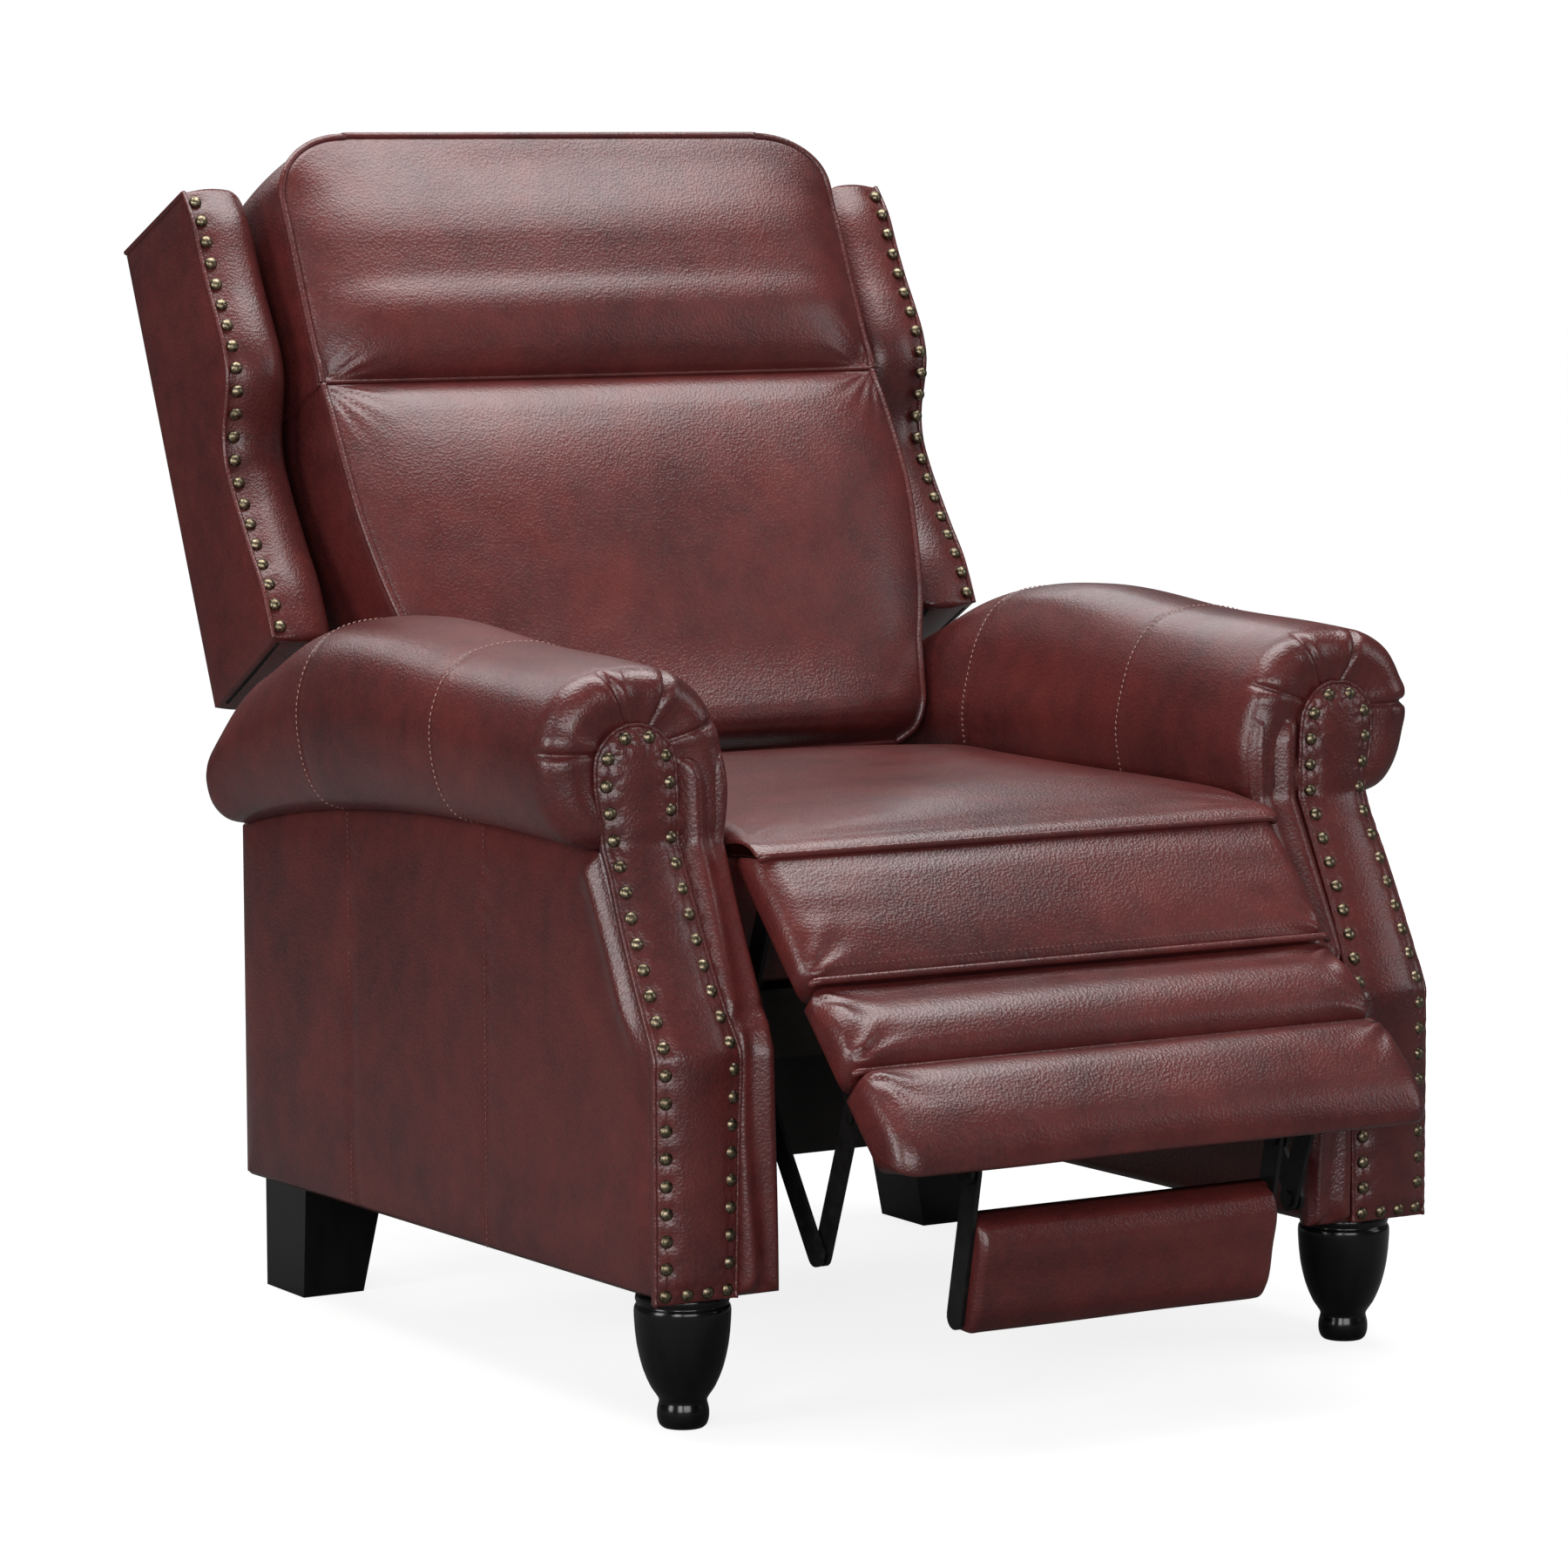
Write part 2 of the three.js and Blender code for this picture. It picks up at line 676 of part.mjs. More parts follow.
function sidePlate() {
  const frontPin = at(frontSwingY, swingTopZ);
  const rearPin = at(rearSwingY, swingTopZ);
  const shoulderZ = sidePlateTopZ - linkRadius;
  const web = [at(anchor.x, sidePlateTopZ), at(anchor.x, sidePlateBottomZ + linkRadius),
    at(frontSwingY - 2 * linkRadius, sidePlateBottomZ), at(backHingeY - linkRadius, sidePlateBottomZ),
    at(backHingeY, sidePlateTopZ)];
  const arms = [[hinge, anchor], [at(backHingeY - linkRadius, shoulderZ), backHinge],
    [frontPin, at(frontPin.x, shoulderZ)], [rearPin, at(rearPin.x, shoulderZ)]];
  let cheek = plateSolid(web);
  for (const [from, to] of arms) {
    cheek = cheek.add(plateSolid(barOutline(from, to, linkRadius)));
  }
  for (const p of [hinge, anchor, frontPin, rearPin, backHinge]) {
    cheek = cheek.subtract(solid(acrossX(hole(p), plate + overrun)));
  }
  return surface(cheek);
}

addPair(seat, 'seat_side_plate', sidePlate(), steel, [sidePlateX, 0, 0]);

// Footrest, drawn hanging straight down from its hinge and then swung open
const footrest = jointGroup(chair, hingeY, hingeZ, -footrestOpening);
const bracketPin = at(bracketPinBack, -bracketPinDrop);

function bracketSlot() {
  const far = bracketPinDrop * slotReachShare;
  const near = linkRadius + slotGap;
  const clear = near * slotClearShare;
  const outline = [at(clear, clear), at(-near, clear), at(-near, -2 * near), at(padBack + touchGap, -far),
    at(clear, -far)];
  const from = bracketX - plate / 2 - touchGap;
  const to = linkX - plate / 2 - touchGap;
  const cut = solid(acrossX(outline, to - from).translate((from + to) / 2, 0, 0));
  const twin = solid(acrossX(outline, to - from).translate(-(from + to) / 2, 0, 0));
  return cut.add(twin);
}

// Pads, listed as depth in front of the board line and place along the footrest
const padShares = {
  front: [[0.03, 0.97, 0], [0.3, 1.03, 0.5], [0.6, 1, 0.8], [0.82, 0.8, 0.7], [0.95, 0.52, 0.2], [1, 0.3, 0]],
  channel: [[0, 0.3, 0], [0.08, 0.62, 0.3], [0.25, 0.88, 0.8], [0.5, 1.05, 1], [0.78, 1.12, 0.8],
    [0.94, 0.98, 0.3], [1, 0.62, 0]],
  main: [[0, 0.62, 0], [0.05, 1, 0.2], [0.2, 1.24, 0.7], [0.45, 1.34, 1], [0.7, 1.3, 1], [0.87, 1.1, 0.6],
    [0.93, 0.74, 0.2], [0.8, 0.1, 0]],
};

function padFace(shares, from, length) {
  return shares.map(([place, depth, crown]) => [at(-noseRadius * depth, -from - length * place), crown]);
}

function closedPad(face, halfWidth, undercut) {
  const first = face[0][0];
  const last = face[face.length - 1][0];
  const back = padBack - touchGap;
  const foot = [[at(back / 2, last.y + undercut / 2)], [at(back, last.y + undercut)]];
  const outline = [[at(back, first.y)], ...face, ...foot];
  return crownedPad(outline, halfWidth, padEdgeRound, padEdgeRound / 3, at(-1, 0));
}

function frontPad() {
  const from = Math.acos((padBack - touchGap) / noseRadius);
  const nose = arc(at(0, 0), noseRadius, from, Math.PI, noseSteps).map((p) => [p]);
  const face = padFace(padShares.front, 0, frontPadLength);
  const last = face[face.length - 1][0];
  const outline = [...nose, ...face, [at(padBack - touchGap, last.y)]];
  const pad = crownedPad(outline, padHalfWidth, padEdgeRound, padEdgeRound / 3, at(-1, 0));
  return surface(solid(pad).subtract(bracketSlot()));
}

const channelFrom = frontPadLength + padSeam;
const mainFrom = channelFrom + channelPadLength + padSeam;
const channelPad = closedPad(padFace(padShares.channel, channelFrom, channelPadLength), padHalfWidth, padSeam);
const mainPad = closedPad(padFace(padShares.main, mainFrom, mainPadLength), padHalfWidth, mainPadUndercut);
add(footrest, 'footrest_front_pad', frontPad(), leather);
add(footrest, 'footrest_channel_pad', surface(solid(channelPad).subtract(bracketSlot())), leather);
add(footrest, 'footrest_main_pad', mainPad, leather);

const boardHalfWidth = bracketX - plate / 2 - touchGap;
const board = new THREE.BoxGeometry(2 * boardHalfWidth, boardThickness, boardLength);
const boardMiddleZ = -boardTop - boardLength / 2;
add(footrest, 'footrest_board', board, hardwood, [0, padBack + boardThickness / 2, boardMiddleZ]);

function footrestBracket() {
  const body = plateSolid(barOutline(at(0, 0), bracketPin, linkRadius));
  return surface(body.add(pin(at(0, 0), 1)).add(pin(bracketPin, 1)));
}

addPair(footrest, 'footrest_bracket', footrestBracket(), steel, [bracketX, 0, 0]);

// Front link and ottoman link, which close the parallelogram on each side
const openBracketPin = bracketPin.clone().rotateAround(at(0, 0), -footrestOpening).add(hinge);
const knee = at(openBracketPin.x + anchorBack, openBracketPin.y - anchorDrop);
const frontLinkLength = anchor.distanceTo(knee);
const ottomanLinkLength = knee.distanceTo(openBracketPin);
const frontLinkTurn = -Math.atan2(anchor.x - knee.x, anchor.y - knee.y);
const ottomanLinkTurn = Math.atan2(knee.x - openBracketPin.x, openBracketPin.y - knee.y);
const frontLinks = jointGroup(chair, anchor.x, anchor.y, frontLinkTurn);
const ottomanLinks = jointGroup(chair, knee.x, knee.y, ottomanLinkTurn);

function frontLink() {
  const low = at(0, -frontLinkLength);
  return surface(plateSolid(barOutline(at(0, 0), low, linkRadius)).add(pin(at(0, 0), -1)).add(pin(low, -1)));
}

function ottomanLink() {
  const high = at(0, ottomanLinkLength);
  return plateSolid(barOutline(at(0, 0), high, linkRadius), [at(0, 0), high]);
}

addPair(frontLinks, 'front_link', frontLink(), steel, [linkX, 0, 0]);
addPair(ottomanLinks, 'ottoman_link', surface(ottomanLink()), steel, [sidePlateX, 0, 0]);

// Flipper: a small padded board that unfolds below the footrest
const flipperPivot = at(flipperPivotBack, flipperPivotInset - boardTop - boardLength);
const flipper = jointGroup(footrest, flipperPivot.x, flipperPivot.y, flipperFold);

function flipperLug() {
  const seatFace = padBack + boardThickness + touchGap;
  const foot = at(seatFace + linkRadius - flipperPivotBack, linkRadius);
  const body = plateSolid(barOutline(at(0, 0), foot, linkRadius));
  const trim = new THREE.BoxGeometry(plate + overrun, 2 * boardThickness, boardLength);
  trim.translate(0, seatFace - flipperPivotBack - boardThickness, 0);
  return surface(body.subtract(solid(trim)).add(pin(at(0, 0), -1)));
}

function flipperArm() {
  const far = flipperTop + flipperLength - linkRadius;
  return surface(plateSolid(barOutline(at(0, 0), at(0, -far), linkRadius), [at(0, 0)]));
}

// The flipper's face is drawn from its top to its foot, as depth and place
const flipperFaceShares = [[0.02, 0.55, 0], [0.07, 0.9, 0.3], [0.25, 1, 0.8], [0.5, 1, 1], [0.75, 1, 0.8],
  [0.93, 0.9, 0.3], [0.98, 0.55, 0]];

function flipperPad() {
  const face = flipperFaceShares.map(([place, depth, crown]) => {
    return [at(-flipperFace * depth, -flipperTop - flipperLength * place), crown];
  });
  const back = -touchGap - runningGap;
  const outline = [[at(back, -flipperTop)], ...face, [at(back, -flipperTop - flipperLength)]];
  return crownedPad(outline, flipperHalfWidth, flipperEdgeRound, flipperEdgeRound / 3, at(-1, 0));
}

const flipperBoardGeometry = new THREE.BoxGeometry(2 * flipperHalfWidth, flipperBoard, flipperLength);
const flipperMiddle = at(flipperBoard / 2 - runningGap, -flipperTop - flipperLength / 2);
add(flipper, 'flipper_board', flipperBoardGeometry, hardwood, [0, flipperMiddle.x, flipperMiddle.y]);
add(flipper, 'flipper_pad', flipperPad(), leather);
addPair(flipper, 'flipper_arm', flipperArm(), steel, [flipperArmX, 0, 0]);
addPair(footrest, 'flipper_lug', flipperLug(), steel, [flipperLugX, flipperPivot.x, flipperPivot.y]);

// Back, turned about the hinge at the top of the side plates; z runs up the back, -y faces the sitter
const back = jointGroup(chair, backHingeY, backHingeZ);
const backAxes = jointGroup(back, backOriginY - backHingeY, backOriginZ - backHingeZ, -backTilt);
const backHingeLocal = at(backHingeY - backOriginY, backHingeZ - backOriginZ);
backHingeLocal.rotateAround(at(0, 0), backTilt);

// A ring of points round a pad that faces -y, in shares of its half width and its depth
const padRingShares = [[0, 0], [0.5, 0], [0.94, 0], [1, 0.2], [1, 0.6], [1, 0.8], [0.97, 0.88], [0.86, 0.94],
  [0.5, 0.985], [0, 1]];

function padRing(z, halfWidth, from, to, arch = 0) {
  const right = padRingShares.map(([across, deep]) => {
    const rise = arch * (1 - across * across);
    return new THREE.Vector3(halfWidth * across, from + (to - from) * deep, z + rise);
  });
  const left = right.slice(1, -1).reverse().map((p) => new THREE.Vector3(-p.x, p.y, p.z));
  return [...right, ...left];
}

const cushionBack = backFrameFront + touchGap;
const lumbarTop = headSeam - padSeam;
const lumbarHeight = lumbarTop - lumbarBottom;

// Place up the cushion, then width and depth, in shares of its height, of a half width and of its depth
const lumbarLowShares = [[0, 0.9, 0.76], [0.02, 0.955, 0.87], [0.062, 0.985, 0.95], [0.1, 1, 0.98],
  [0.18, 1, 1]];
const lumbarHighShares = [[0.244, 0.915, 1], [0.296, 0.943, 1], [0.348, 0.968, 1], [0.427, 0.993, 1],
  [0.556, 1, 0.98], [0.687, 1, 0.955], [0.817, 1, 0.925], [0.92, 1, 0.875], [0.985, 0.99, 0.8],
  [1, 0.98, 0.76]];
const headShares = [[0, 0.98, 0.86, 0], [0.02, 0.99, 0.91, 0], [0.075, 1, 0.96, 0], [0.2, 1, 1, 0],
  [0.4, 1, 1, 0], [0.6, 1, 0.96, 0], [0.77, 1, 0.925, 0], [0.853, 0.985, 0.91, 0.3], [0.916, 0.95, 0.89, 0.6],
  [0.956, 0.893, 0.87, 0.8], [0.982, 0.81, 0.85, 0.9], [1, 0.66, 0.82, 1]];

function lumbarRings(shares, halfWidth) {
  return shares.map(([place, wide, deep]) => {
    return padRing(lumbarBottom + lumbarHeight * place, halfWidth * wide, -cushionBack, -lumbarDepth * deep);
  });
}

function lumbarCushion() {
  const low = lumbarRings(lumbarLowShares, cushionLowHalfWidth);
  return loft([...low, ...lumbarRings(lumbarHighShares, cushionHalfWidth)]);
}

function headCushion() {
  return loft(headShares.map(([place, wide, deep, arch]) => {
    const u = headSeam + headHeight * place;
    return padRing(u, cushionHalfWidth * wide, -cushionBack, -headDepth * deep, headArch * arch);
  }));
}

add(backAxes, 'lumbar_cushion', lumbarCushion(), leather);
add(backAxes, 'head_cushion', headCushion(), leather);

// Wooden back frame, narrow between the arms and wide between the wings
const backFrameHighHalfWidth = wingInnerX - touchGap;

function backFrameRing(inset) {
  const low = backFrameLowHalfWidth - inset;
  const high = backFrameHighHalfWidth - inset;
  const bottom = backFrameBottom + inset;
  const top = backFrameTop - inset;
  const shoulder = top - backFrameArch;
  return [at(-low, bottom), at(low, bottom), at(low, backFrameWidenFrom), at(high, backFrameWidenTo),
    at(high, shoulder), at(high / 2, top), at(-high / 2, top), at(-high, shoulder),
    at(-high, backFrameWidenTo), at(-low, backFrameWidenFrom)];
}

const backFrame = ringAlongZ(backFrameRing(0), backFrameRing(backFrameBar), backFrameDepth);
backFrame.rotateX(Math.PI / 2);
add(backAxes, 'back_frame', backFrame, hardwood, [0, backFrameDepth - backFrameFront, 0]);

for (let i = 0; i < backSpringCount; i += 1) {
  const z = backSpringBottom + backSpringPitch * i;
  const frameSide = z < backFrameWidenFrom ? backFrameLowHalfWidth : backFrameHighHalfWidth;
  const spring = zigzag(2 * (frameSide - backFrameBar - springWire - touchGap), 0);
  spring.rotateZ(Math.PI / 2).rotateX(Math.PI / 2);
  add(backAxes, `back_spring_${i + 1}`, spring, springSteel, [0, 2 * springWire - backFrameFront, z]);
}

// Upholstered cover over the back of the frame
const coverShares = [[0, 0.83, 0.3], [0.02, 0.845, 0.8], [0.19, 0.85, 1], [0.27, 1, 1], [0.5, 1, 1],
  [0.8, 1, 1], [0.975, 0.99, 0.85], [1, 0.97, 0.35]];

function rearCover() {
  const from = backFrameDepth - backFrameFront + touchGap;
  return loft(coverShares.map(([place, wide, deep]) => padRing(coverBottom + (coverTop - coverBottom) * place,
    backFrameHighHalfWidth * wide, from, from + coverThickness * deep)));
}

add(backAxes, 'back_rear_cover', rearCover(), leather);

// Brackets that join the back frame to the hinges
function backBracket() {
  const from = -backFrameFront;
  const to = from + backFrameDepth;
  const strap = [at(from, backFrameBottom / 2), at(to, backFrameBottom / 2), at(to, backFrameBottom),
    backHingeLocal, at(from, backFrameBottom + backFrameBar / 2)];
  const foot = plateSolid(barOutline(backHingeLocal, at((from + to) / 2, backFrameBottom), linkRadius));
  return surface(plateSolid(strap).add(foot).add(pin(backHingeLocal, -1)));
}

addPair(backAxes, 'back_bracket', backBracket(), steel, [linkX, 0, 0]);

// Wings: padded sides with a board let into the rear edge and black cloth underneath
function wing() {
  const outline = wingOutlineShares.map(([up, deep]) => at(-wingDepth * deep, wingHeight * up));
  const width = wingOuterX - wingInnerX;
  const block = solid(acrossX(outline, width, [], wingEdgeRound));
  const [low, high] = wingBoardShares.map(([share]) => share * wingHeight);
  const depth = wingDepth * wingBoardShares[0][1];
  const slot = new THREE.BoxGeometry(wingBoardThickness, depth + overrun, high - low);
  slot.translate(wingBoardX - (wingInnerX + wingOuterX) / 2, (overrun - depth) / 2, (low + high) / 2);
  return surface(block.subtract(solid(slot)));
}

function wingBoard() {
  const [low, high] = wingBoardShares.map(([share]) => share * wingHeight);
  const depth = wingDepth * wingBoardShares[0][1];
  const fit = 2 * touchGap;
  return new THREE.BoxGeometry(wingBoardThickness - fit, depth - fit, high - low - fit);
}

const wingBoardMiddleY = -wingDepth * wingBoardShares[0][1] / 2;
const wingBoardMiddleZ = wingHeight * (wingBoardShares[0][0] + wingBoardShares[1][0]) / 2;
addPair(backAxes, 'wing', wing(), leather, [(wingInnerX + wingOuterX) / 2, 0, 0]);
addPair(backAxes, 'wing_board', wingBoard(), hardwood, [wingBoardX, wingBoardMiddleY, wingBoardMiddleZ]);

function wingUnderside() {
  const [tipUp, tipDeep] = wingOutlineShares[wingOutlineShares.length - 1];
  const tip = at(-wingDepth * tipDeep, wingHeight * tipUp);
  const below = at(0, -touchGap);
  const [rear, front] = underClothShares.map((share) => tip.clone().multiplyScalar(share).add(below));
  const lower = [front, rear].map((p) => p.clone().add(at(0, -underCloth)));
  return acrossX([rear, front, ...lower], wingOuterX - wingInnerX - 2 * wingEdgeRound);
}

addPair(backAxes, 'wing_underside', wingUnderside(), blackCloth, [(wingInnerX + wingOuterX) / 2, 0, 0]);

// The origin is the middle of the footprint, on the floor
chair.updateMatrixWorld(true);
const bounds = new THREE.Box3().setFromObject(chair, true);
chair.position.y = -(bounds.min.y + bounds.max.y) / 2;

export default chair;
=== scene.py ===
"""Wingback recliner: leather, padding, nail heads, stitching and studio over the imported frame."""
import json
import math

import bpy
import numpy as np
from mathutils import Matrix, Vector


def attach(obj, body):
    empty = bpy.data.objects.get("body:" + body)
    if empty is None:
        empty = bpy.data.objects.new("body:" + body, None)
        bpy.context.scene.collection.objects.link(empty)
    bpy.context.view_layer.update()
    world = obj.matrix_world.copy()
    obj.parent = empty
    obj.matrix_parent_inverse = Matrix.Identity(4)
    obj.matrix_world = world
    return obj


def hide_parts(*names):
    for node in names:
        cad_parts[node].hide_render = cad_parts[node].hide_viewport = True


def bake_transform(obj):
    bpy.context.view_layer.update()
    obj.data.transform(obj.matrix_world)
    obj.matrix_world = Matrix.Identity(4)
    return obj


bl_info = {
    "name": "Wingback Recliner Upholstery",
    "version": (1, 0, 0),
    "blender": (4, 5, 0),
    "location": "View3D > Sidebar > Recliner",
    "description": "Upholsters a packed wingback recliner and sets a soft studio",
    "category": "Object",
}

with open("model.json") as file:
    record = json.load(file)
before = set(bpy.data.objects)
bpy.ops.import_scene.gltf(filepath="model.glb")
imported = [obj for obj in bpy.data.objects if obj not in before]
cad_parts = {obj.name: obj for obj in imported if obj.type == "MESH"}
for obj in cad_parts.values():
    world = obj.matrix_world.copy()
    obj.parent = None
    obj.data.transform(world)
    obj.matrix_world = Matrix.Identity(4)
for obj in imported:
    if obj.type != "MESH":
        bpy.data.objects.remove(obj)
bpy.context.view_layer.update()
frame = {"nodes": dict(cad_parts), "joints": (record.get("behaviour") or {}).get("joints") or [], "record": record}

# Places in the chair's own millimetres: the middle of the seat width, the front towards -Y, the floor at 0
HINGE = (-455.0, 452.0)
BACK_ORIGIN = (322.0, 542.0)
BACK_TILT = math.pi * 0.1311
FOOTREST_OPENING = math.pi / 4
FLIPPER_PIVOT = (38.0, -288.0)
FLIPPER_FOLD = math.pi * 0.0656
ARM_INNER, ARM_OUTER = 271.0, 392.0
ARM_BOTTOM, ARM_KNEE, ARM_SEAM = 113.0, 320.0, 484.0
ARM_LOW_FRONT, ARM_HIGH_FRONT, ARM_REAR = -517.0, -429.0, 257.0
ROLL_INNER, ROLL_OUTER, ROLL_REAR_OUTER, ROLL_TOP = 262.0, 443.0, 430.0, 648.0
WING_INNER, WING_OUTER, WING_HEIGHT = 309.0, 385.0, 461.0
SEAM_PLACES = (28.0, -232.0)

joints = {joint["name"]: joint for joint in frame["joints"]}
SHIFT = joints["footrest_swing"]["pos_m"][1] * 1000 - HINGE[0]


def chair(x, y, z):
    """Chair millimetres to row metres."""
    x, y, z = np.broadcast_arrays(np.asarray(x, float), y, z)
    return np.stack([x, y + SHIFT, z], axis=-1) / 1000


def back(x, u, w):
    """Along the back: u runs up it, w stands out towards the sitter."""
    c, s = math.cos(BACK_TILT), math.sin(BACK_TILT)
    return chair(x, BACK_ORIGIN[0] + s * u - c * w, BACK_ORIGIN[1] + c * u + s * w)


def footrest(x, s, n):
    """Along the open footrest: s runs away from the hinge, n stands out of its face."""
    c, d = math.cos(FOOTREST_OPENING), math.sin(FOOTREST_OPENING)
    return chair(x, HINGE[0] - d * s - c * n, HINGE[1] - c * s + d * n)


def flipper(x, s, n):
    """Along the flipper, from its pivot on the footrest."""
    c, d = math.cos(-FLIPPER_FOLD), math.sin(-FLIPPER_FOLD)
    cf, df = math.cos(FOOTREST_OPENING), math.sin(FOOTREST_OPENING)
    py = HINGE[0] + cf * FLIPPER_PIVOT[0] + df * FLIPPER_PIVOT[1]
    pz = HINGE[1] - df * FLIPPER_PIVOT[0] + cf * FLIPPER_PIVOT[1]
    return chair(x, py - d * s - c * n, pz - c * s + d * n)


def smooth(t):
    t = np.clip(t, 0, 1)
    return t * t * (3 - 2 * t)


def bump(d, width):
    """A smooth bell of height 1 at d = 0."""
    return np.exp(-(np.asarray(d) / width) ** 2)


def follow(table, t):
    """A smooth curve through pairs of place and value."""
    xs, ys = np.array(table, float).T
    t = np.clip(t, xs[0], xs[-1])
    slope = np.gradient(ys, xs)
    i = np.clip(np.searchsorted(xs, t, side="right") - 1, 0, len(xs) - 2)
    h = xs[i + 1] - xs[i]
    q = (t - xs[i]) / h
    return ((1 + 2 * q) * (1 - q) ** 2 * ys[i] + q * (1 - q) ** 2 * h * slope[i]
            + q * q * (3 - 2 * q) * ys[i + 1] + q * q * (q - 1) * h * slope[i + 1])


def grown(d, width):
    """From 0 at a seam, d = 0, to 1 well inside it."""
    return 1 - np.exp(-d / width)


def rumple(p, scale, seed=0.0):
    """Slow waves in the leather, from sines in three directions."""
    x, y, z = (p[..., i] / scale + seed * (i + 1) for i in range(3))
    return (np.sin(x * 1.7 + np.sin(z * 1.3 + y)) + np.sin(y * 2.1 + np.sin(x * 1.1 - z))
            + np.sin(z * 1.9 + np.sin(y * 1.6 + x * 0.7))) / 3


def linked(name, data):
    """A new object in the scene."""
    obj = bpy.data.objects.new(name, data)
    bpy.context.scene.collection.objects.link(obj)
    return obj


def new_object(name, points, faces):
    """A smooth mesh object with its normals outwards."""
    mesh = bpy.data.meshes.new(name)
    mesh.from_pydata([tuple(p) for p in points], [], faces)
    mesh.validate()
    if signed_volume(mesh) < 0:
        mesh.flip_normals()
    mesh.shade_smooth()
    return linked(name, mesh)


def signed_volume(mesh):
    mesh.calc_loop_triangles()
    co = np.zeros(len(mesh.vertices) * 3)
    mesh.vertices.foreach_get("co", co)
    tri = np.zeros(len(mesh.loop_triangles) * 3, int)
    mesh.loop_triangles.foreach_get("vertices", tri)
    a, b, c = np.moveaxis(co.reshape(-1, 3)[tri.reshape(-1, 3)], 1, 0)
    return float(np.einsum("ij,ij->", a, np.cross(b, c)))


def finish_piece(obj, look, body, replaces=()):
    """Give a piece its material and its body, and hide the frame nodes it stands in for."""
    obj.data.materials.clear()
    obj.data.materials.append(look)
    if body:
        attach(obj, body)
    if replaces:
        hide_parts(*replaces)
    return obj


def both_sides(name, build):
    """Call build(name, side, word) for the sitter's left, +X, and right."""
    for side, word in ((1, "left"), (-1, "right")):
        build(f"{name}_{word}", side, word)


def spaced(count, tight=0.75):
    """Places from 0 to 1, closer together at both ends."""
    t = np.linspace(0, 1, count)
    return (1 - tight) * t + tight * (1 - np.cos(math.pi * t)) / 2


def border(rows, cols):
    """Grid indices round the edge of a grid, once round."""
    top = [(0, j) for j in range(cols)]
    right = [(i, cols - 1) for i in range(1, rows)]
    low = [(rows - 1, j) for j in range(cols - 2, -1, -1)]
    left = [(i, 0) for i in range(rows - 2, 0, -1)]
    return np.array(top + right + low + left)


def edge_distance(flat, ring):
    """How far each point lies from a closed ring of points."""
    a = ring[None, :, :]
    b = np.roll(ring, -1, axis=0)[None, :, :]
    p = flat.reshape(-1, 1, 2)
    ab = b - a
    t = np.clip(((p - a) * ab).sum(-1) / np.maximum((ab * ab).sum(-1), 1e-9), 0, 1)
    return np.sqrt((((a + t[..., None] * ab) - p) ** 2).sum(-1)).min(1).reshape(flat.shape[:-1])


def outward(ring):
    """Unit normals out of a closed flat ring of points."""
    area = np.sum(ring[:, 0] * np.roll(ring[:, 1], -1) - np.roll(ring[:, 0], -1) * ring[:, 1])
    ahead = np.roll(ring, -1, 0) - np.roll(ring, 1, 0)
    normal = np.stack([ahead[:, 1], -ahead[:, 0]], -1) * np.sign(area)
    return normal / np.maximum(np.linalg.norm(normal, axis=1, keepdims=True), 1e-9)


def two_sheets(rows, cols):
    """Faces of two grids of points, the second one turned over."""
    faces = []
    for r in range(rows - 1):
        for s in range(cols - 1):
            first = r * cols + s
            quad = (first, first + 1, first + cols + 1, first + cols)
            faces.append(quad)
            faces.append(tuple(v + rows * cols for v in reversed(quad)))
    return faces


def bands_between(chain):
    """Faces between closed rings of point numbers that follow one another."""
    faces = []
    for one, two in zip(chain, chain[1:]):
        for e in range(len(one)):
            f = (e + 1) % len(one)
            faces.append((one[e], two[e], two[f], one[f]))
    return faces


def skin(rings, ends=None):
    """Points and faces over rings of points, with a fan to a point at each end, or closed into a loop."""
    count = len(rings[0])
    chain = [range(k * count, (k + 1) * count) for k in range(len(rings))]
    if ends is None:
        return np.concatenate(rings), bands_between(chain + chain[:1])
    faces = bands_between(chain)
    peak = len(rings) * count
    for e in range(count):
        f = (e + 1) % count
        faces.append((peak, e, f))
        faces.append((peak + 1, chain[-1][f], chain[-1][e]))
    return np.concatenate([*rings, ends]), faces


def capped(rings):
    """Points and faces over rings of points, closed at the middle of the first and of the last one."""
    return skin(rings, [rings[0].mean(0), rings[-1].mean(0)])


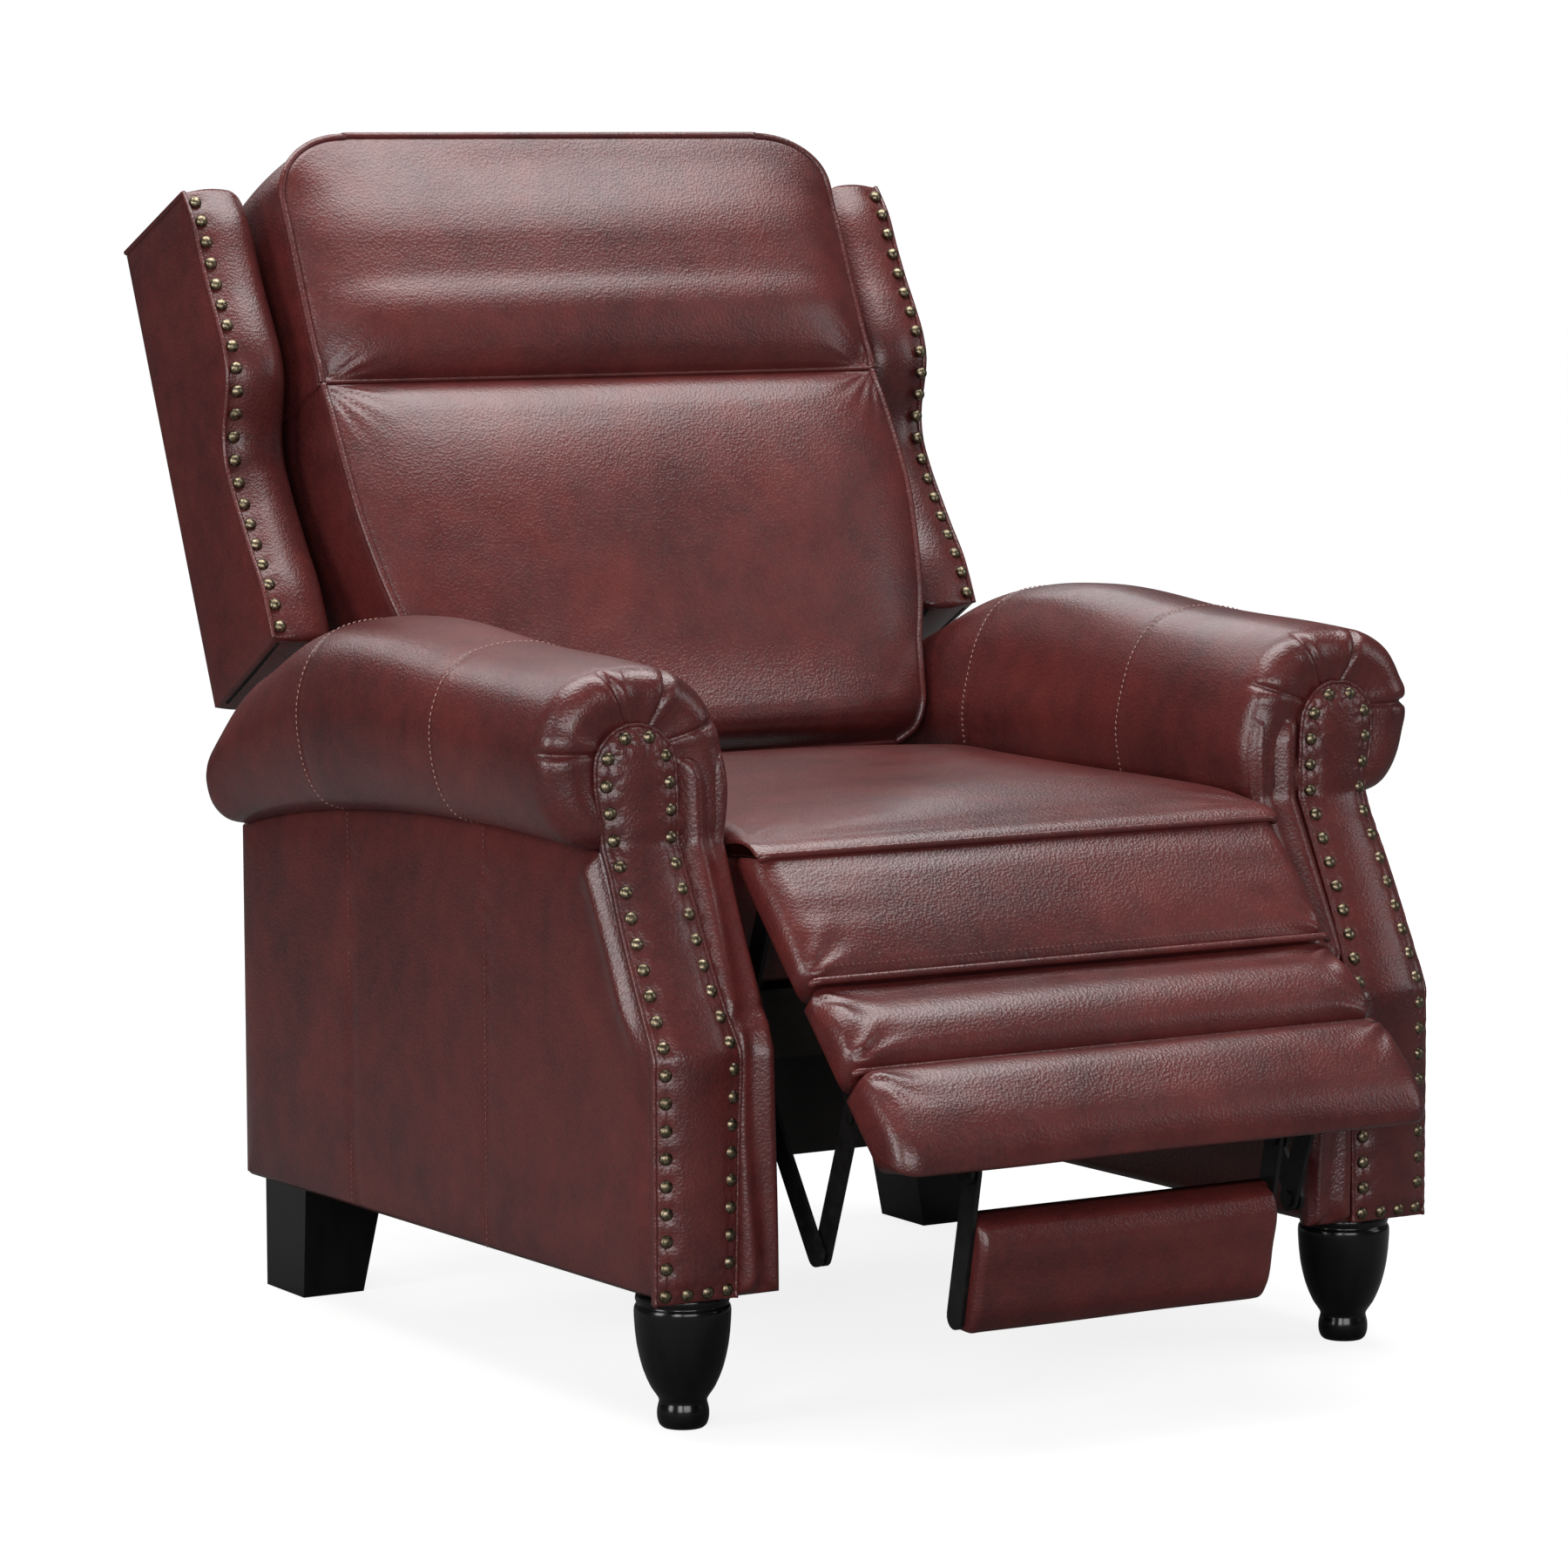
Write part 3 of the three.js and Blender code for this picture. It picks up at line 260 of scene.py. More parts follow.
def slab(outline, place, high, low, rows, cols, relief, steps, crown=(0, 0), soft=(1, 1), bulge=0.0,
         rounds=(0, 0), band=None):
    """A padded block: two crowned faces with one outline, and a band between them.

    outline(i, j) gives flat (a, b) for grid shares, high and low give the faces' depth c at (a, b), and
    place(a, b, c) gives row metres. relief and band move the faces and the band out of the skin.
    Returns points, faces and the seam rings of the two faces, in metres.
    """
    i, j = np.meshgrid(spaced(rows), spaced(cols), indexing="ij")
    flat = np.stack(outline(i, j), -1)
    rim = border(rows, cols)
    ring = flat[rim[:, 0], rim[:, 1]]
    distance = edge_distance(flat, ring)
    distance[rim[:, 0], rim[:, 1]] = 0
    middle, half = (ring.max(0) + ring.min(0)) / 2, (ring.max(0) - ring.min(0)) / 2
    normal = outward(ring)

    def drawn_in(pts, inset):
        return middle + (pts - middle) * (1 - inset / half)

    layers = []
    for face, sign in ((0, 1), (1, -1)):
        pts = drawn_in(flat, rounds[face])
        level = (high, low)[face](pts[..., 0], pts[..., 1])
        rise = crown[face] * grown(distance, soft[face]) + relief(pts[..., 0], pts[..., 1], distance, face)
        layers.append(place(pts[..., 0], pts[..., 1], level + sign * rise))
    top, bottom = high(ring[:, 0], ring[:, 1]), low(ring[:, 0], ring[:, 1])
    for t in np.arange(1, steps) / steps:
        c = top + (bottom - top) * t
        inset = np.zeros(len(ring))
        for depth, r in ((np.abs(top - c), rounds[0]), (np.abs(c - bottom), rounds[1])):
            if r:
                q = np.clip(1 - depth / r, 0, 1)
                inset += r * (1 - np.sqrt(1 - q * q))
        pts = drawn_in(ring + normal * bulge * math.sin(math.pi * t) ** 0.8, inset[:, None])
        if band is not None:
            pts = pts + normal * band(pts[:, 0], pts[:, 1], t)[:, None]
        layers.append(place(pts[:, 0], pts[:, 1], c))
    points = np.concatenate([layer.reshape(-1, 3) for layer in layers])
    count, edge = rows * cols, len(rim)
    first = [int(v) for v in rim[:, 0] * cols + rim[:, 1]]
    between = [range(2 * count + k * edge, 2 * count + (k + 1) * edge) for k in range(steps - 1)]
    faces = two_sheets(rows, cols) + bands_between([first, *between, [v + count for v in first]])
    seams = [layers[k][rim[:, 0], rim[:, 1]] for k in (0, 1)]
    return points, faces, seams


def level(depth):
    """A face of a padded block that stands at one depth all over."""
    return lambda a, b: np.full_like(b, depth)


def tube(name, path, radius, closed=False, sides=10):
    """A tube along points in metres, its ends closed; radius in millimetres."""
    path = np.asarray(path, float)
    keep = np.concatenate([[True], np.linalg.norm(np.diff(path, axis=0), axis=1) > 1e-5])
    path = path[keep]
    ahead = np.roll(path, -1, 0) - np.roll(path, 1, 0)
    if not closed:
        ahead[0], ahead[-1] = path[1] - path[0], path[-1] - path[-2]
    ahead /= np.linalg.norm(ahead, axis=1, keepdims=True)
    side = np.cross(ahead, (0.31, 0.47, 0.83))
    for k in range(len(path)):
        before = side[max(k - 1, 0)]
        square = before - ahead[k] * before.dot(ahead[k])
        side[k] = square / np.linalg.norm(square)
    third = np.cross(ahead, side)
    angle = np.linspace(0, 2 * math.pi, sides, endpoint=False)[None, :, None]
    rings = path[:, None] + radius / 1000 * (np.cos(angle) * side[:, None] + np.sin(angle) * third[:, None])
    return new_object(name, *skin(rings, None if closed else path[[0, -1]]))


def run_along(path):
    """How far along a path each of its points lies."""
    return np.concatenate([[0], np.cumsum(np.linalg.norm(np.diff(path, axis=0), axis=1))])


def resample(path, count=None, pitch=None):
    """Points evenly along a path, by count or by pitch in the path's own unit, and the directions there."""
    path = np.asarray(path, float)
    run = run_along(path)
    count = count or max(2, int(round(run[-1] / pitch)) + 1)
    at = np.linspace(0, run[-1], count)
    out = np.stack([np.interp(at, run, path[:, k]) for k in range(3)], -1)
    ahead = np.gradient(out, axis=0)
    return out, ahead / np.linalg.norm(ahead, axis=1, keepdims=True)


class Signal:
    """A shader socket that can be added and multiplied, to write a pattern as a formula."""

    def __init__(self, tree, socket):
        self.tree = tree
        self.socket = socket

    def math(self, operation, other):
        node = self.tree.nodes.new("ShaderNodeMath")
        node.operation = operation
        for slot, value in zip(node.inputs, (self, other)):
            if isinstance(value, Signal):
                self.tree.links.new(value.socket, slot)
            else:
                slot.default_value = value
        return Signal(self.tree, node.outputs[0])

    def __add__(self, other):
        return self.math("ADD", other)

    def __mul__(self, other):
        return self.math("MULTIPLY", other)

    def between(self, low, high):
        node = self.tree.nodes.new("ShaderNodeMapRange")
        node.interpolation_type = "SMOOTHSTEP"
        node.inputs["From Min"].default_value = low
        node.inputs["From Max"].default_value = high
        self.tree.links.new(self.socket, node.inputs["Value"])
        return Signal(self.tree, node.outputs["Result"])

    def into(self, socket):
        self.tree.links.new(self.socket, socket)


class Look:
    """One node material: its principled shader, its coordinates and the patterns on them."""

    def __init__(self, name, rough, metal=0.0, coat=0.0, coat_rough=0.2, specular=0.5):
        self.material = bpy.data.materials.new(name)
        self.material.use_nodes = True
        self.tree = self.material.node_tree
        self.shader = self.tree.nodes["Principled BSDF"]
        for socket, value in (("Roughness", rough), ("Metallic", metal), ("Coat Weight", coat),
                              ("Coat Roughness", coat_rough), ("Specular IOR Level", specular)):
            self.shader.inputs[socket].default_value = value
        self.place = self.tree.nodes.new("ShaderNodeTexCoord").outputs["Object"]

    def stretched(self, scale):
        node = self.tree.nodes.new("ShaderNodeMapping")
        node.inputs["Scale"].default_value = scale
        self.tree.links.new(self.place, node.inputs["Vector"])
        return node.outputs["Vector"]

    def noise(self, scale, detail=3.0, rough=0.5, distortion=0.0, place=None):
        node = self.tree.nodes.new("ShaderNodeTexNoise")
        node.inputs["Scale"].default_value = scale
        node.inputs["Detail"].default_value = detail
        node.inputs["Roughness"].default_value = rough
        node.inputs["Distortion"].default_value = distortion
        self.tree.links.new(place or self.place, node.inputs["Vector"])
        return Signal(self.tree, node.outputs["Fac"])

    def cells(self, scale):
        node = self.tree.nodes.new("ShaderNodeTexVoronoi")
        node.inputs["Scale"].default_value = scale
        self.tree.links.new(self.place, node.inputs["Vector"])
        return Signal(self.tree, node.outputs["Distance"])

    def colours(self, signal, *stops):
        node = self.tree.nodes.new("ShaderNodeValToRGB")
        ramp = node.color_ramp
        while len(ramp.elements) < len(stops):
            ramp.elements.new(0.5)
        for element, (where, colour) in zip(ramp.elements, stops):
            element.position = where
            element.color = (*colour, 1)
        signal.into(node.inputs["Fac"])
        self.tree.links.new(node.outputs["Color"], self.shader.inputs["Base Color"])

    def bumps(self, height, strength, distance):
        node = self.tree.nodes.new("ShaderNodeBump")
        node.inputs["Strength"].default_value = strength
        node.inputs["Distance"].default_value = distance
        height.into(node.inputs["Height"])
        self.tree.links.new(node.outputs["Normal"], self.shader.inputs["Normal"])

    def roughness(self, signal):
        signal.into(self.shader.inputs["Roughness"])


def leather_look():
    """Aniline leather: mottled oxblood, pebbled grain, gloss that varies from place to place."""
    look = Look("oxblood_leather", 0.4, coat=0.12, coat_rough=0.16)
    clouds = look.noise(5.0, 4.0, 0.55, 0.6) * 0.5 + look.noise(34.0, 3.0, 0.6) * 0.3
    clouds = clouds + look.noise(230.0, 2.0) * 0.2
    look.colours(clouds, (0.36, (0.044, 0.0082, 0.0082)), (0.5, (0.076, 0.013, 0.0124)),
                 (0.64, (0.106, 0.0178, 0.0156)))
    pebbles = look.cells(380.0) * 0.7 + look.noise(900.0, 2.0) * 0.3 + look.noise(160.0, 2.0) * 0.12
    look.bumps(pebbles, 0.5, 0.0008)
    look.roughness(look.noise(24.0, 3.0) * 0.16 + look.cells(430.0) * 0.1 + 0.21)
    return look.material


def brass_look():
    look = Look("antique_brass", 0.36, metal=1.0)
    look.colours(look.noise(420.0, 3.0, 0.6), (0.35, (0.06, 0.047, 0.030)), (0.5, (0.17, 0.137, 0.088)),
                 (0.68, (0.30, 0.255, 0.18)))
    look.bumps(look.noise(800.0, 2.0), 0.2, 0.0004)
    look.roughness(look.noise(300.0) * 0.2 + 0.26)
    return look.material


def lacquer_look():
    look = Look("black_lacquer", 0.2, coat=0.1, coat_rough=0.08, specular=0.3)
    look.colours(look.noise(20.0, 3.0, place=look.stretched((4, 4, 1))), (0.35, (0.0016, 0.0015, 0.0015)),
                 (0.7, (0.0036, 0.0033, 0.0032)))
    look.bumps(look.noise(60.0, 3.0, place=look.stretched((6, 6, 1))), 0.06, 0.0005)
    look.roughness(look.noise(15.0) * 0.12 + 0.14)
    return look.material


def timber_look(name, rough, *stops):
    """Hardwood with its grain along X, raw or stained."""
    look = Look(name, rough)
    grain = look.noise(26.0, 5.0, 0.6, 1.2, place=look.stretched((0.6, 9, 9)))
    look.colours(grain, *stops)
    look.bumps(grain, 0.25, 0.0006)
    look.roughness(grain * 0.2 + (rough - 0.15))
    return look.material


def steel_look(name, tone, metal, rough):
    look = Look(name, rough, metal=metal)
    worn = look.noise(90.0, 4.0, 0.6)
    look.colours(worn, (0.3, (tone * 0.7,) * 3), (0.62, (tone * 1.3,) * 3), (0.8, (tone * 2.6,) * 3))
    look.bumps(look.noise(700.0, 2.0), 0.15, 0.0003)
    look.roughness(worn * 0.2 + (rough - 0.1))
    return look.material


def dust_cloth_look():
    look = Look("black_dust_cloth", 0.95, specular=0.12)
    look.colours(look.noise(500.0, 2.0), (0.3, (0.004,) * 3), (0.7, (0.014,) * 3))
    look.bumps(look.cells(900.0) + look.noise(300.0), 0.5, 0.0006)
    return look.material


def thread_look(name, tone):
    look = Look(name, 0.6)
    dark, pale = (tuple(share * v for v in tone) for share in (0.65, 1.3))
    look.colours(look.noise(600.0, 2.0), (0.3, dark), (0.7, pale))
    look.bumps(look.noise(1500.0), 0.3, 0.0003)
    return look.material


def shown_white(tree):
    """How far a ray shows the white studio: fully to the camera and through glass, faintly in mirrors."""
    rays = tree.nodes.new("ShaderNodeLightPath")
    camera, through_glass, mirror = (Signal(tree, rays.outputs[kind])
                                     for kind in ("Is Camera Ray", "Is Transmission Ray", "Is Glossy Ray"))
    return camera + through_glass + mirror * 0.03


def floor_look():
    """Studio paper: white to the camera with the chair's shadow on it, grey to what it lights."""
    look = Look("floor_paper", 0.9)
    look.shader.inputs["Base Color"].default_value = (0.12, 0.12, 0.12, 1)
    tree = look.tree
    reach = tree.nodes.new("ShaderNodeVectorMath")
    reach.operation = "LENGTH"
    tree.links.new(look.place, reach.inputs[0])
    glow = tree.nodes.new("ShaderNodeEmission")
    near, far, dim = 0.9, 2.4, 0.84
    whitening = Signal(tree, reach.outputs["Value"]).between(near, far)
    (whitening * (1 - dim) + dim).into(glow.inputs["Strength"])
    lit = tree.nodes.new("ShaderNodeBsdfDiffuse")
    lit.inputs["Color"].default_value = (0.24, 0.24, 0.24, 1)
    both = tree.nodes.new("ShaderNodeAddShader")
    tree.links.new(glow.outputs["Emission"], both.inputs[0])
    tree.links.new(lit.outputs["BSDF"], both.inputs[1])
    mix = tree.nodes.new("ShaderNodeMixShader")
    shown_white(tree).into(mix.inputs["Fac"])
    tree.links.new(look.shader.outputs["BSDF"], mix.inputs[1])
    tree.links.new(both.outputs["Shader"], mix.inputs[2])
    tree.links.new(mix.outputs["Shader"], tree.nodes["Material Output"].inputs["Surface"])
    return look.material


LOOKS = {}


def make_looks():
    raw_wood = ((0.3, (0.30, 0.17, 0.08)), (0.5, (0.43, 0.27, 0.13)), (0.7, (0.52, 0.35, 0.19)))
    stained_wood = ((0.3, (0.006, 0.005, 0.0045)), (0.7, (0.018, 0.014, 0.011)))
    LOOKS.update(leather=leather_look(), brass=brass_look(), lacquer=lacquer_look(), cloth=dust_cloth_look(),
                 timber=timber_look("raw_hardwood", 0.7, *raw_wood),
                 stained=timber_look("stained_hardwood", 0.6, *stained_wood),
                 steel=steel_look("black_steel", 0.012, 0.55, 0.34),
                 spring=steel_look("spring_steel", 0.18, 1.0, 0.36),
                 thread=thread_look("oxblood_thread", (0.17, 0.058, 0.048)),
                 pale_thread=thread_look("pale_thread", (0.34, 0.2, 0.17)))


def seam_part(seam, rows, cols, *sides):
    """The stretches of a face's seam ring, in order round the face."""
    corners = {"low": (0, cols), "right": (cols - 1, cols + rows - 1),
               "high": (cols + rows - 2, 2 * cols + rows - 2), "left": (2 * cols + rows - 3, len(seam) + 1)}
    ring = np.concatenate([seam, seam[:1]])
    return np.concatenate([ring[slice(*corners[side])] for side in sides])


def repeat_on(name, points, normals, aheads, size, look, body, segments, rings):
    """Squashed beads on points, by Geometry Nodes: nail heads and stitches. size is in millimetres."""
    mesh = bpy.data.meshes.new(name + "_points")
    mesh.from_pydata([tuple(p) for p in points], [], [])
    for key, values in (("facing", normals), ("ahead", aheads)):
        attribute = mesh.attributes.new(key, "FLOAT_VECTOR", "POINT")
        attribute.data.foreach_set("vector", np.asarray(values, float).ravel())
    host = linked(name + "_points", mesh)
    tree = bpy.data.node_groups.new(name, "GeometryNodeTree")
    for way in ("INPUT", "OUTPUT"):
        tree.interface.new_socket("Geometry", in_out=way, socket_type="NodeSocketGeometry")
    new, link = tree.nodes.new, tree.links.new
    start, end = new("NodeGroupInput"), new("NodeGroupOutput")
    bead = new("GeometryNodeMeshUVSphere")
    for key, value in (("Segments", segments), ("Rings", rings), ("Radius", 0.0005)):
        bead.inputs[key].default_value = value
    shape = new("GeometryNodeTransform")
    shape.inputs["Scale"].default_value = size
    turn = None
    for key, axis in (("facing", "Z"), ("ahead", "X")):
        named = new("GeometryNodeInputNamedAttribute")
        named.data_type = "FLOAT_VECTOR"
        named.inputs["Name"].default_value = key
        align = new("FunctionNodeAlignRotationToVector")
        align.axis = axis
        if turn:
            align.pivot_axis = "Z"
            link(turn.outputs[0], align.inputs["Rotation"])
        link(named.outputs["Attribute"], align.inputs["Vector"])
        turn = align
    place = new("GeometryNodeInstanceOnPoints")
    real = new("GeometryNodeRealizeInstances")
    smooth_node = new("GeometryNodeSetShadeSmooth")
    paint = new("GeometryNodeSetMaterial")
    paint.inputs["Material"].default_value = look
    link(bead.outputs["Mesh"], shape.inputs["Geometry"])
    link(start.outputs[0], place.inputs["Points"])
    link(shape.outputs["Geometry"], place.inputs["Instance"])
    link(turn.outputs[0], place.inputs["Rotation"])
    link(place.outputs["Instances"], real.inputs["Geometry"])
    link(real.outputs["Geometry"], smooth_node.inputs[0])
    link(smooth_node.outputs[0], paint.inputs["Geometry"])
    link(paint.outputs["Geometry"], end.inputs[0])
    host.modifiers.new("repeat", "NODES").node_group = tree
    graph = bpy.context.evaluated_depsgraph_get()
    made = bpy.data.meshes.new_from_object(host.evaluated_get(graph))
    made.name = name
    obj = linked(name, made)
    bpy.data.objects.remove(host)
    return finish_piece(obj, look, body)


def stitches(name, path, facing, body, look="thread", size=(3.4, 0.9, 0.8)):
    """A row of stitches along a path; facing is one direction, or one for each point of the path."""
    points, aheads = resample(path, pitch=0.0055)
    if np.ndim(facing) == 1:
        normals = np.broadcast_to(np.asarray(facing, float), points.shape)
    else:
        normals = resample(facing, len(points))[0]
    return repeat_on(name, points, normals, aheads, size, LOOKS[look], body, 6, 4)


def nail_heads(name, points, normals, body):
    """Domed brass heads on a line of points."""
    size = sizes().nail_size * 1000
    aheads = np.tile((1.0, 0.0, 0.0), (len(points), 1))
    dome = (size, size, size * 0.72)
    return repeat_on(name, points, normals, aheads, dome, LOOKS["brass"], body, 16, 9)


def welt(name, path, body, radius, closed=False):
    """Leather piping along a seam."""
    return finish_piece(tube(name, path, radius, closed), LOOKS["leather"], body)


def pad(name, body, replaces, outline, place, high, low, fill=0.6, **shape):
    """A padded leather block with its body and the nodes it stands for; returns its seam rings."""
    points, faces, seams = slab(outline, place, high, low, **shape)
    finish_piece(new_object(name, points, faces), LOOKS["leather"], body, replaces)
    return seams


class ReclinerSizes(bpy.types.PropertyGroup):
    """Sizes of the trim: its lengths in metres, its rumple in millimetres"""
    welt_radius: bpy.props.FloatProperty(name="Welt radius", description="Radius of the leather piping",
                                         default=0.0036, min=0.001, max=0.01, subtype="DISTANCE", unit="LENGTH")
    nail_size: bpy.props.FloatProperty(name="Nail head", description="Diameter of a nail head",
                                       default=0.0122, min=0.004, max=0.03, subtype="DISTANCE", unit="LENGTH")
    nail_pitch: bpy.props.FloatProperty(name="Nail pitch", description="Distance between nail heads",
                                        default=0.0228, min=0.01, max=0.1, subtype="DISTANCE", unit="LENGTH")
    crown: bpy.props.FloatProperty(name="Crown", description="How full the cushions are stuffed",
                                   default=1.0, min=0.3, max=1.6)
    rumple: bpy.props.FloatProperty(name="Rumple", description="How far the leather waves, in millimetres",
                                    default=1.3, min=0.0, max=5.0)


def sizes():
    return bpy.context.scene.recliner_sizes


class RECLINER_OT_cad_finishes(bpy.types.Operator):
    """Give the wooden and steel pieces of the frame their materials"""
    bl_idname = "recliner.cad_finishes"
    bl_label = "Finish Frame Pieces"

    def execute(self, context):
        wanted = {"hardwood": "timber", "black_wood": "lacquer", "black_steel": "steel",
                  "spring_steel": "spring", "dust_cover": "cloth", "leather": "leather"}
        slots = {part["node"]: part["material_slot"] for part in frame["record"]["subparts"]}
        shown_wood = {"front_cross_rail", "rear_cross_rail", "footrest_board", "flipper_board", "seat_frame",
                      "back_frame"}
        for node, obj in frame["nodes"].items():
            look = LOOKS["stained" if node in shown_wood else wanted[slots[node]]]
            for place in obj.material_slots:
                place.material = look
            if not obj.material_slots:
                obj.data.materials.append(look)
        return {"FINISHED"}


# Rows of (share of the radius, share of the height), from the foot up
LEG_PROFILE = [(0.38, 0), (0.44, 0.02), (0.475, 0.07), (0.478, 0.125), (0.455, 0.17), (0.43, 0.2),
               (0.44, 0.215), (0.5, 0.25), (0.585, 0.3), (0.665, 0.37), (0.735, 0.445), (0.79, 0.53),
               (0.835, 0.62), (0.865, 0.72), (0.882, 0.82), (0.888, 0.885), (0.878, 0.915), (0.83, 0.93),
               (0.825, 0.94), (0.862, 0.952), (0.872, 0.968), (0.86, 0.985), (0.85, 1)]
LEG_X, LEG_Y, LEG_RADIUS, LEG_HEIGHT = 340.0, -477.0, 46.0, 112.6


class RECLINER_OT_front_legs(bpy.types.Operator):
    """Turn the two front legs with finer steps than the frame's"""
    bl_idname = "recliner.front_legs"
    bl_label = "Front Legs"

    def execute(self, context):
        stations, sides = 90, 64
        profile = np.array(LEG_PROFILE) * (LEG_RADIUS, LEG_HEIGHT)
        run = run_along(profile)
        at = np.linspace(0, run[-1], stations)
        radius, height = (np.interp(at, run, profile[:, k])[:, None] for k in (0, 1))
        for _ in range(3):
            radius[1:-1] = (radius[:-2] + 2 * radius[1:-1] + radius[2:]) / 4
        angle = np.linspace(0, 2 * math.pi, sides, endpoint=False)

        def build(name, side, word):
            middle = side * LEG_X
            rings = chair(middle + radius * np.cos(angle), LEG_Y + radius * np.sin(angle), height)
            leg = new_object(name, *skin(rings, chair([middle, middle], LEG_Y, [0, LEG_HEIGHT])))
            finish_piece(leg, LOOKS["lacquer"], "base", [f"front_leg_{word}"])

        both_sides("front_leg_turned", build)
        return {"FINISHED"}


# Rows of (u, millimetres) up the back: half width of the lumbar cushion, faces of both, and depth of their seams
LUMBAR_WIDTH = [(-134, 230), (-128, 242), (-118, 249), (-104, 253), (-80, 257), (-60, 261), (-40, 266),
                (-20, 272.5), (0, 279), (30, 286), (60, 291.5), (90, 296), (125, 299.5), (160, 300.5),
                (250, 300)]
HEAD_FACE = [(250, 181), (257, 189), (269, 197.5), (284, 203.5), (300, 207), (315, 208.5), (328, 207.5),
             (345, 204.5), (370, 203), (395, 202), (415, 199.5), (440, 194.5), (465, 189), (488, 184.5),
             (503, 181)]
LUMBAR_FACE = [(-134, 182), (-133, 200), (-130, 215), (-125, 226), (-118, 231.5), (-108, 232.5), (-94, 230),
               (-74, 226), (-48, 222.5), (-15, 221), (40, 221), (90, 220), (130, 218), (165, 214),
               (195, 208.5), (220, 201.5), (238, 192.5), (250, 181)]
SEAM_DEPTH = [(-134, 182), (-126, 196), (-110, 207), (-80, 211), (-40, 208), (0, 205), (40, 202), (80, 200),
              (130, 197), (190, 190), (220, 186), (250, 181), (262, 182), (280, 180), (320, 178),
              (400, 177), (440, 176), (466, 180), (503, 181)]
LUMBAR_LOW, CUSHION_SEAM, HEAD_TOP = -134.0, 250.0, 499.0
HEAD_HALF, SEAM_END, CUSHION_REAR = 300.5, 300.0, 46.0


class RECLINER_OT_back_cushions(bpy.types.Operator):
    """Build the head and lumbar cushions with their welts"""
    bl_idname = "recliner.back_cushions"
    bl_label = "Back Cushions"

    def execute(self, context):
        rows, cols = 72, 84
        waves, full, radius = sizes().rumple, sizes().crown, sizes().welt_radius * 1000

        def cushion(name, outline, relief, bulge, *welted):
            seams = pad(name + "_leather", "back", [name], outline, back, lambda x, u: follow(SEAM_DEPTH, u),
                        level(CUSHION_REAR), rows=rows, cols=cols, bulge=bulge, relief=relief, steps=12)
            welt(name + "_welt", seam_part(seams[0], rows, cols, *welted), "back", radius)
            return seams[0]

        def swell(x, u, d, face_curve, half, reach):
            """How far a cushion stands before its seams, round towards its side welts."""
            side = np.maximum(half - np.abs(x), 0)
            return full * (follow(face_curve, u) - follow(SEAM_DEPTH, u)) * grown(side, reach) * smooth(d / 5)

        def seam_end_distance(x, u):
            return np.hypot(np.abs(x) - SEAM_END, u - CUSHION_SEAM)

        def gathers(x, u, d, depth, folds, turn, middle, reach):
            """Folds that fan out from the ends of the seam between the cushions."""
            angle = np.arctan2(np.abs(u - CUSHION_SEAM), SEAM_END + 1 - np.abs(x))
            end = seam_end_distance(x, u)
            return depth * np.sin(angle * folds + turn) * bump(end - middle, reach) * smooth(d / 9)

        def head_outline(i, j):
            corner_u, corner_x = 58.0, 75.0
            low = CUSHION_SEAM + 1.0
            u = low + (HEAD_TOP - CUSHION_SEAM) * i
            past = np.clip((u - (HEAD_TOP - corner_u)) / corner_u, 0, 1)
            half = HEAD_HALF - corner_x * (1 - np.sqrt(np.maximum(0, 1 - past ** 2)))
            return half * (2 * j - 1), u

        def head_relief(x, u, d, face):
            if face:
                return 0
            tuck = 7 * bump(seam_end_distance(x, u), 26) * smooth(d / 9)
            return (swell(x, u, d, HEAD_FACE, HEAD_HALF, 30) + gathers(x, u, d, 1.7, 21, 0, 12, 30) - tuck
                    + waves * rumple(back(x, u, 0), 0.09, 0.4) * smooth(d / 30))

        def lumbar_outline(i, j):
            u = LUMBAR_LOW + (CUSHION_SEAM - 1.0 - LUMBAR_LOW) * i
            return follow(LUMBAR_WIDTH, u) * (2 * j - 1), u

        def lumbar_relief(x, u, d, face):
            if face:
                return 0
            return (swell(x, u, d, LUMBAR_FACE, follow(LUMBAR_WIDTH, u), 34)
                    + gathers(x, u, d, 1.8, 19, 1, 14, 34)
                    + waves * 1.4 * rumple(back(x, u, 0), 0.11, 2.1) * smooth(d / 30))

        seam = cushion("head_cushion", head_outline, head_relief, 4, "right", "high", "left")
        welt("head_seam_welt", seam_part(seam, rows, cols, "low"), "back", radius * 0.6)
        cushion("lumbar_cushion", lumbar_outline, lumbar_relief, 1, "left", "low", "right")
        return {"FINISHED"}


# Rows of (u, w): how far the front of a wing stands before the back
WING_FRONT = [(0, 142.2), (16, 142), (50, 140), (90, 131), (120, 125), (160, 118), (196, 117), (220, 125),
              (243, 142), (262, 154), (285, 158), (320, 155.5), (352, 151), (388, 148), (430, 146),
              (461, 138)]


def wing_foot(w):
    """How far up the back the slanting foot of a wing lies."""
    return 16 * w / WING_FRONT[0][1]


